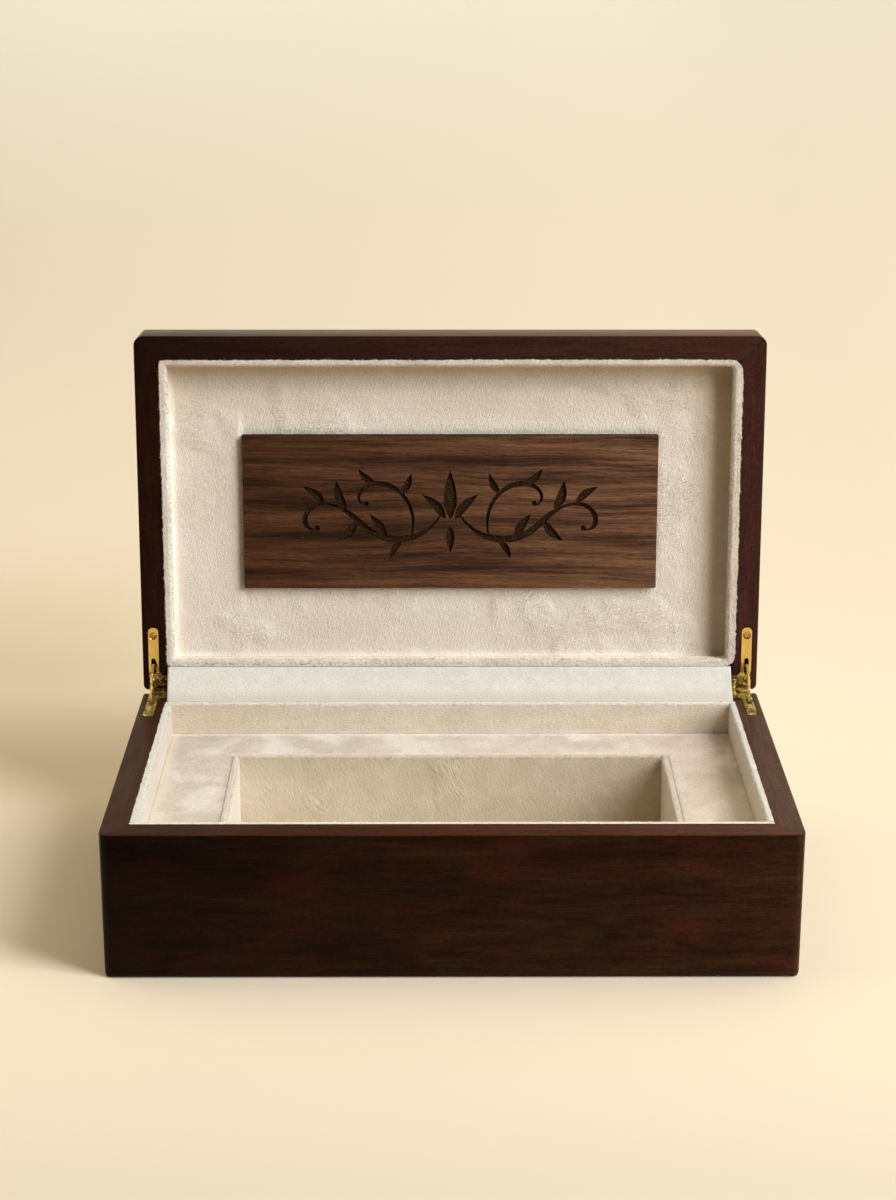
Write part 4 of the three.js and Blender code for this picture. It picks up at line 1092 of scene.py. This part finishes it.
def lid_roll():
    """The lid's lining boards under one cloth, rolled over at the rim. The cloth laps a
    little way over the wood, with an uneven fuzzy edge."""
    z_deep = 87.15
    w = 3.0
    # (t, z) as if shut, rim side low: up the outer face, round the lap and the roll, down inside
    section = [(0.15, z_deep), (0.0, z_deep - 0.4), (0.0, 71.5), (0.0, 68.2), (0.0, 67.34)]
    lap = [(-0.30, 67.285), (-0.72, 67.28), (-0.95, 67.265), (-1.00, 67.25), (-0.93, 67.23), (-0.70, 67.21), (-0.35, 67.20)]
    section += lap
    section += [(0.05, 67.20), (0.25, 67.21), (0.45, 67.25)]
    r = 1.75
    for k in range(1, 8):
        a = math.radians(90 * k / 7)
        section.append((1.06 - r / w + r / w * math.sin(a), 67.22 + r - r * math.cos(a)))
    section += [(1.075, 69.4), (1.07, 70.2), (1.055, 71.2), (1.035, 72.4), (1.01, 74.0), (1.0, 76.0), (1.0, z_deep - 0.4), (0.85, z_deep)]
    # lower left, lower right, upper right, upper left in the plan of the shut lid; the
    # upper side is at the hinges
    tags, corners = rounded_outline(LIN_X, LIN_Y, [1.5, 4.9, 4.6, 2.0], 0.36)
    po = outline_points(tags, corners, LIN_X, LIN_Y, [1.5, 4.9, 4.6, 2.0])
    pi = outline_points(tags, corners, LIN_X - w, LIN_Y - w, [0.8, 2.2, 2.2, 1.4])
    out = po - pi
    out /= np.linalg.norm(out, axis=1, keepdims=True)
    side = lambda v: np.maximum(v, 0) ** 2
    reach = 1.15 * side(out[:, 0]) + 0.42 * side(-out[:, 0]) + 0.72 * side(-out[:, 1]) + 0.08 * side(out[:, 1])
    here = np.concatenate([po, np.zeros((len(po), 1))], 1)
    reach *= 1 + 0.16 * noise(here, 3.1, 53) + 0.14 * noise(here, 11, 54)
    reach += np.where(out[:, 1] > 0.7, 0.0, 0.20 * noise(here, 0.95, 55) + 0.20 * noise(here, 2.3, 56) + 0.08 * noise(here, 6, 57))
    reach = np.maximum(reach, 0.05)
    t = np.array([q[0] for q in section])
    z = np.array([q[1] for q in section])
    xy = po[:, None, :] * (1 - np.maximum(t, 0))[None, :, None] + pi[:, None, :] * np.maximum(t, 0)[None, :, None]
    xy = xy - out[:, None, :] * (np.minimum(t, 0)[None, :, None] * reach[:, None, None])
    # the lining is thinner along the lid's front
    xy[:, :, 1] -= 0.85 * np.clip(t, 0, 1)[None, :] * np.clip((-xy[:, :, 1] - 58) / 10, 0, 1)
    pts = np.concatenate([xy, np.broadcast_to(z[None, :, None], xy.shape[:2] + (1,))], 2).reshape(-1, 3)
    faces = ring_faces(len(tags), len(section))
    faces = oriented(pts, faces)

    def amount(p):
        top = np.clip((70.6 - p[:, 2]) / 2.0, 0, 1)
        lapped = np.maximum(np.abs(p[:, 0]) - LIN_X, np.abs(p[:, 1]) - LIN_Y) > 0.02
        return fuzz(p, 51, fine=0.14, coarse=0.12) * (0.3 + 0.8 * top) * np.where(lapped, 0.2, 1)

    pts = pile(pts, faces, amount, (-142, -79, 67.17), (142, 79, z_deep + 0.02), 51)

    def density(p):
        out = np.maximum(np.abs(p[:, 0]) - LIN_X, np.abs(p[:, 1]) - LIN_Y)
        return np.where((p[:, 2] < 69.6) & (out > -4.2) & (p[:, 1] < 74.4), 5.0 + 9.0 * np.clip(out / 0.5 + 1, 0, 1), 0)

    pts, faces = with_nap(pts, faces, density, 0.95, 951, (-140.2, -76.8, 67.17), (140.2, 75.2, z_deep), lean=(0, 0, -0.1), width=0.12)
    ob = new_object("lid_lining_cloth", opened(pts), faces, suede_roll)
    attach(ob, "lid")
    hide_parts("lid_lining_front", "lid_lining_back", "lid_lining_left", "lid_lining_right")


lid_roll()


def graded(half, fine, coarse, margin):
    """Stations from -half to half, closer together within the margin of the ends."""
    n = int(round(margin / fine))
    m = int(round(2 * (half - margin) / coarse))
    a = -half + np.arange(n) * fine
    return np.concatenate([a, np.linspace(-half + margin, half - margin, m + 1), -a[::-1]])


def swollen(xs, ys, held):
    """How far a cloth over thin wadding rises, in mm, held down where held(x, y) is true:
    Blender's cloth under a light pressure, on a coarse grid, sampled at xs by ys."""
    step = 4.0
    gx = np.linspace(-IN_X, IN_X, int(2 * IN_X / step) + 1)
    gy = np.linspace(-IN_Y, IN_Y, int(2 * IN_Y / step) + 1)
    px, py = np.meshgrid(gx, gy, indexing="ij")
    pts = np.stack([px.ravel(), py.ravel(), np.zeros(px.size)], 1)
    pts[:, 2] = 0.02 * noise(pts, 9, 71)
    idx = np.arange(px.size).reshape(px.shape)
    quads = np.stack([idx[:-1, :-1], idx[1:, :-1], idx[1:, 1:], idx[:-1, 1:]], -1).reshape(-1, 4).tolist()
    ob = new_object("wadding", pts, quads, suede_pad)
    pins = ob.vertex_groups.new(name="held")
    pins.add([i for i, p in enumerate(pts) if held(p[0], p[1])], 1.0, "REPLACE")
    cloth = ob.modifiers.new("cloth", "CLOTH")
    c = cloth.settings
    c.quality = 4
    c.mass = 0.3
    c.tension_stiffness = 12
    c.compression_stiffness = 12
    c.bending_stiffness = 0.6
    c.use_pressure = True
    c.uniform_pressure_force = 4.0
    c.vertex_group_mass = "held"
    c.shrink_min = -0.004
    c.effector_weights.gravity = 0.0
    cloth.point_cache.frame_start = 1
    cloth.point_cache.frame_end = 20
    for f in range(1, 21):
        scene.frame_set(f)
    done = ob.evaluated_get(bpy.context.evaluated_depsgraph_get())
    co = np.empty(3 * len(pts))
    done.data.vertices.foreach_get("co", co)
    rise = np.abs(co.reshape(-1, 3)[:, 2] * 1000 - 0).reshape(px.shape)
    scene.frame_set(1)
    bpy.data.objects.remove(ob, do_unlink=True)
    rise = np.minimum(rise, 2.5)
    free = 1.0 - np.array([[held(x, y) for y in gy] for x in gx], float)
    for k in range(30):
        around = np.pad(rise, 1, mode="edge")
        level = 0.4 * rise + 0.15 * (around[:-2, 1:-1] + around[2:, 1:-1] + around[1:-1, :-2] + around[1:-1, 2:])
        rise = np.maximum(rise, level) * free if k < 18 else level
    fx = np.interp(xs, gx, np.arange(len(gx)))
    fy = np.interp(ys, gy, np.arange(len(gy)))
    i, j = np.minimum(fx.astype(int), len(gx) - 2), np.minimum(fy.astype(int), len(gy) - 2)
    u, v = fx - i, fy - j
    u, v = u * u * (3 - 2 * u), v * v * (3 - 2 * v)
    U, V = u[:, None], v[None, :]
    I, J = i[:, None], j[None, :]
    return (
        rise[I, J] * (1 - U) * (1 - V) + rise[I + 1, J] * U * (1 - V) + rise[I, J + 1] * (1 - U) * V + rise[I + 1, J + 1] * U * V
    )


def lid_pad():
    """The thin padded panel in the lid: held down under the plaque and along its edges, it
    swells a little between them, and its cloth runs up the lining boards in a soft cove."""
    back = 87.1
    hx, hy = IN_X + 0.14, IN_Y + 0.14
    xs, ys = graded(hx, 0.42, 1.25, 6.3), graded(hy, 0.42, 1.25, 6.3)

    def held(x, y):
        return abs(x) > IN_X - 3 or abs(y) > IN_Y - 3 or (abs(x) < 101 and abs(y + 0.8) < 39)

    rise = swollen(xs, ys, held)
    peak = max(1e-6, float(rise.max()))
    gx, gy = np.meshgrid(xs, ys, indexing="ij")
    flat = np.stack([gx.ravel(), gy.ravel(), np.zeros(gx.size)], 1)
    lift = np.minimum(rise.ravel() * (0.55 / peak), 0.6)
    loose = np.clip(lift / 0.25, 0, 1)
    soft = 0.05 * noise(flat, (34, 30, 30), 61) + 0.02 * noise(flat, (11, 9, 8), 62) + fuzz(flat, 63, 0.03, 0.03)
    lift = lift + loose * soft
    # and it stands up a little against the plaque's edges
    beside = np.maximum(np.abs(flat[:, 0]) - 100.0, np.abs(flat[:, 1] + 0.8) - 37.75)
    tall = np.where(flat[:, 0] < -100, 1.0, 0.30)
    press = tall * np.clip(beside / 1.4, 0, 1) * (1 - 0.75 * np.clip((beside - 2.0) / 14.0, 0, 1))
    lift = np.maximum(lift, (1.15 + 0.12 * noise(flat, 6, 65)) * press * (beside > 0))
    # the cove: distance to the border, with round corners
    r = 3.6
    ax, ay = np.abs(flat[:, 0]) - (hx - r), np.abs(flat[:, 1]) - (hy - r)
    both = (ax > 0) & (ay > 0)
    inside = np.where(both, r - np.hypot(ax, ay), r - np.maximum(ax, ay))
    d = np.clip(inside / r, 0, 1)
    ease = lambda v, a, b: (lambda q: q * q * (3 - 2 * q))(np.clip((v - a) / (b - a), 0, 1))
    high = 2.6 - 1.9 * ease(flat[:, 0], 100, 122) - 0.9 * ease(flat[:, 1], 40, 60) * (1 - ease(flat[:, 0], 100, 122))
    cove = high * (1 - np.sqrt(np.clip(1 - (1 - d) ** 2, 0, 1)))
    cove += 0.05 * noise(flat, 2.2, 64) * (1 - d)
    top = PAD_Z - lift - cove
    flat[:, 1] -= 0.85 * np.clip((-flat[:, 1] - 58) / 10, 0, 1)
    n0 = len(flat)
    idx = np.arange(n0).reshape(gx.shape)
    pts = np.stack([flat[:, 0], flat[:, 1], top], 1)
    faces = np.stack([idx[:-1, :-1], idx[:-1, 1:], idx[1:, 1:], idx[1:, :-1]], -1).reshape(-1, 4).tolist()
    border = list(idx[:, 0]) + list(idx[-1, 1:]) + list(idx[-2::-1, -1]) + list(idx[0, -2:0:-1])
    lower = pts[border].copy()
    lower[:, 2] = back
    lower[:, 0] = np.clip(lower[:, 0], -IN_X, IN_X)
    lower[:, 1] = np.clip(lower[:, 1], -IN_Y - 0.85, IN_Y)
    n = len(border)
    for k in range(n):
        m = (k + 1) % n
        faces.append([border[k], border[m], n0 + m, n0 + k])
    faces.append([n0 + k for k in range(n)])
    pts = np.concatenate([pts, lower])
    faces = oriented(pts, faces)
    ob = new_object("lid_pad_cloth", opened(pts), faces, suede_pad)
    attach(ob, "lid")
    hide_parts("lid_lining_pad")


lid_pad()


# ----------------------------------------------------------- fabric hinge strip
def hinge_strip():
    """One taut strip of the cloth from the base lining's upper edge to the lid lining's edge,
    over the hinge line."""
    start = np.array([74.62, 66.86])
    end_shut = np.array([[0, 75.15, 67.42]])
    end = opened(end_shut)[0][1:]
    chord = end - start
    length = np.linalg.norm(chord)
    d = chord / length
    inward = np.array([d[1], -d[0]])  # towards the hinge corner
    n = 26
    half = 137.1
    thick = 0.55
    line = []
    for k in range(n + 1):
        t = k / n
        sag = 0.75 * 4 * t * (1 - t)
        line.append(start + chord * t + inward * sag)
    line = np.array(line)
    tang = np.gradient(line, axis=0)
    tang /= np.linalg.norm(tang, axis=1, keepdims=True)
    nrm = np.stack([tang[:, 1], -tang[:, 0]], 1)
    m = 300
    xs = np.linspace(-half, half, m + 1)
    front, rear = [], []
    for i in range(n + 1):
        wave = 0.10 * np.sin(xs / 31.0 + 1.3) * math.sin(math.pi * i / n)
        for j, x in enumerate(xs):
            f = line[i] + nrm[i] * wave[j]
            b = f + nrm[i] * thick
            x = x - (0.25 + 0.65 * i / n) * max(0.0, -x / half - 0.9) * 10
            front.append((x, f[0], f[1]))
            rear.append((x, b[0], b[1]))
    front, rear = np.array(front), np.array(rear)
    w = m + 1
    idx = np.arange(len(front)).reshape(n + 1, w)
    faces = np.stack([idx[:-1, :-1], idx[:-1, 1:], idx[1:, 1:], idx[1:, :-1]], -1).reshape(-1, 4).tolist()
    off = len(front)
    faces += [[f[3] + off, f[2] + off, f[1] + off, f[0] + off] for f in faces[: n * m]]
    loop = list(idx[0, :]) + list(idx[1:, -1]) + list(idx[-1, -2::-1]) + list(idx[-2:0:-1, 0])
    for k in range(len(loop)):
        a, b = loop[k], loop[(k + 1) % len(loop)]
        faces.append([b, a, a + off, b + off])
    pts = np.concatenate([front, rear])
    faces = oriented(pts, faces)
    material = suede(
        "strip_fabric",
        lean=(0, 30, 0),
        seed=12,
        light=(0.715, 0.685, 0.635),
        dark=(0.665, 0.63, 0.57),
        streak=0.35,
        nap=0.17,
        nap_len=1.4,
        nap_wide=0.75,
        grain_size=0.75,
        relief=2.0,
        tints=lambda look, colour: look.mix(look.between(look.axis("Z"), 67.4, 72.0, 0.85, 0), colour, (0.575, 0.520, 0.450)),
    )
    ob = new_object("hinge_strip_cloth", pts, faces, material)
    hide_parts("flap_base_half", "flap_lid_half")
    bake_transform(ob)


hinge_strip()


# ------------------------------------------------------------------------ stage
def stage():
    """A seamless pale ground that rises into a backdrop behind the box."""
    w, front, back, r, top = 1.7, -0.62, 1.6, 1.1, 3.4
    profile = [(front, 0.0)]
    profile += [(front + (back - r - front) * k / 12, 0.0) for k in range(1, 13)]
    profile += [(back - r + r * math.sin(math.radians(a)), r - r * math.cos(math.radians(a))) for a in range(5, 95, 5)]
    profile += [(back, r + (top - r) * k / 4) for k in range(1, 5)]
    pts, faces = [], []
    for y, z in profile:
        pts += [(-w, y, z), (w, y, z)]
    for k in range(len(profile) - 1):
        faces.append([2 * k, 2 * k + 1, 2 * k + 3, 2 * k + 2])
    look = Look("ground")
    tone = look.noise(700, detail=1, seed=1)
    floor = look.mix(tone, (0.735, 0.632, 0.500), (0.748, 0.645, 0.512))
    rise = look.between(look.axis("Z"), 70, 520)
    # painted light: the backdrop is lighter towards the left
    wall = look.ramp(
        look.between(look.axis("X"), -320, 520, smooth=False),
        [(0.0, (0.990, 0.975, 0.815)), (1.0, (0.710, 0.665, 0.540))],
    )
    colour = look.mix(rise, floor, wall)
    # painted shade: the floor darker towards the front
    near = look.ramp(look.between(look.axis("Y"), -255, -100, smooth=False), [(0.0, (0.80, 0.835, 0.86)), (0.5, (0.90, 0.925, 0.945)), (1.0, (1.0, 1.0, 1.0))])
    colour = look.mix(1.0, colour, near, blend="MULTIPLY")
    # the shade to the left of the box fades out slowly behind it
    fade = look.math("MULTIPLY", look.between(look.axis("Y"), 240, 330), look.between(look.axis("Y"), 620, 360))
    fade = look.math("MULTIPLY", fade, look.between(look.axis("X"), -90, -230))
    colour = look.mix(fade, colour, look.mix(1.0, colour, (0.86, 0.845, 0.80), blend="MULTIPLY"))
    # painted shade: the ground a little darker to the right
    colour = look.scaled(colour, look.between(look.axis("X"), 140, 330, 1.0, 0.955))
    material = look.set(colour=colour, roughness=0.9, specular=0.1, ior=1.3)
    ob = new_object("ground", np.array(pts) * 1000, faces, material)


stage()

# ----------------------------------------------------------------------- lights
# A tall soft window to the right, a little in front.
window = bpy.data.lights.new("key", "AREA")
window.shape = "RECTANGLE"
window.size, window.size_y = 1.53, 3.4
window.energy = 218
window.color = (0.955, 0.985, 1.0)
key = bpy.data.objects.new("key", window)
scene.collection.objects.link(key)
azimuth, rise_angle, far = math.radians(62), math.radians(35), 3.75
towards = Vector(
    (
        math.sin(azimuth) * math.cos(rise_angle),
        -math.cos(azimuth) * math.cos(rise_angle),
        math.sin(rise_angle),
    )
)
key.location = towards * far + Vector((0, 0, 0.1))
key.rotation_mode = "QUATERNION"
key.rotation_quaternion = towards.to_track_quat("Z", "Y")

world = bpy.data.worlds.new("studio")
scene.world = world
world.use_nodes = True
wt = world.node_tree
wt.nodes.clear()
bg = wt.nodes.new("ShaderNodeBackground")
wo = wt.nodes.new("ShaderNodeOutputWorld")
wt.links.new(bg.outputs[0], wo.inputs[0])
bg.inputs["Color"].default_value = (1.0, 0.86, 0.605, 1)
aim = wt.nodes.new("ShaderNodeTexCoord")
parts = wt.nodes.new("ShaderNodeSeparateXYZ")
wt.links.new(aim.outputs["Generated"], parts.inputs[0])
height = wt.nodes.new("ShaderNodeMapRange")
height.interpolation_type = "SMOOTHSTEP"
wt.links.new(parts.outputs["Y"], height.inputs["Value"])
height.inputs["From Min"].default_value = -0.45
height.inputs["From Max"].default_value = 0.2
height.inputs["To Min"].default_value = 0.03
height.inputs["To Max"].default_value = 1.45
wt.links.new(height.outputs["Result"], bg.inputs["Strength"])

scene.view_settings.view_transform = "Standard"
scene.view_settings.look = "None"

# ----------------------------------------------------------------------- camera
cam = bpy.data.cameras.new("camera")
cam.sensor_width = 36
cam.sensor_fit = "AUTO"
cam.lens = 2469.97 * 36 / 1200
cam.clip_start, cam.clip_end = 0.01, 50
camera = bpy.data.objects.new("camera", cam)
scene.collection.objects.link(camera)
pitch, yaw, roll = 0.3150, -0.0047, 0.0008
right = Vector((math.cos(yaw), math.sin(yaw), 0))
level = Vector((-math.sin(yaw), math.cos(yaw), 0))
fwd = level * math.cos(pitch) - Vector((0, 0, 1)) * math.sin(pitch)
up = level * math.sin(pitch) + Vector((0, 0, 1)) * math.cos(pitch)
ir = right * math.cos(roll) + up * math.sin(roll)
iu = -right * math.sin(roll) + up * math.cos(roll)
m = Matrix((ir, iu, -fwd)).transposed().to_4x4()
m.translation = Vector((-0.006437, -1.048205, 0.484709))
camera.matrix_world = m
scene.camera = camera
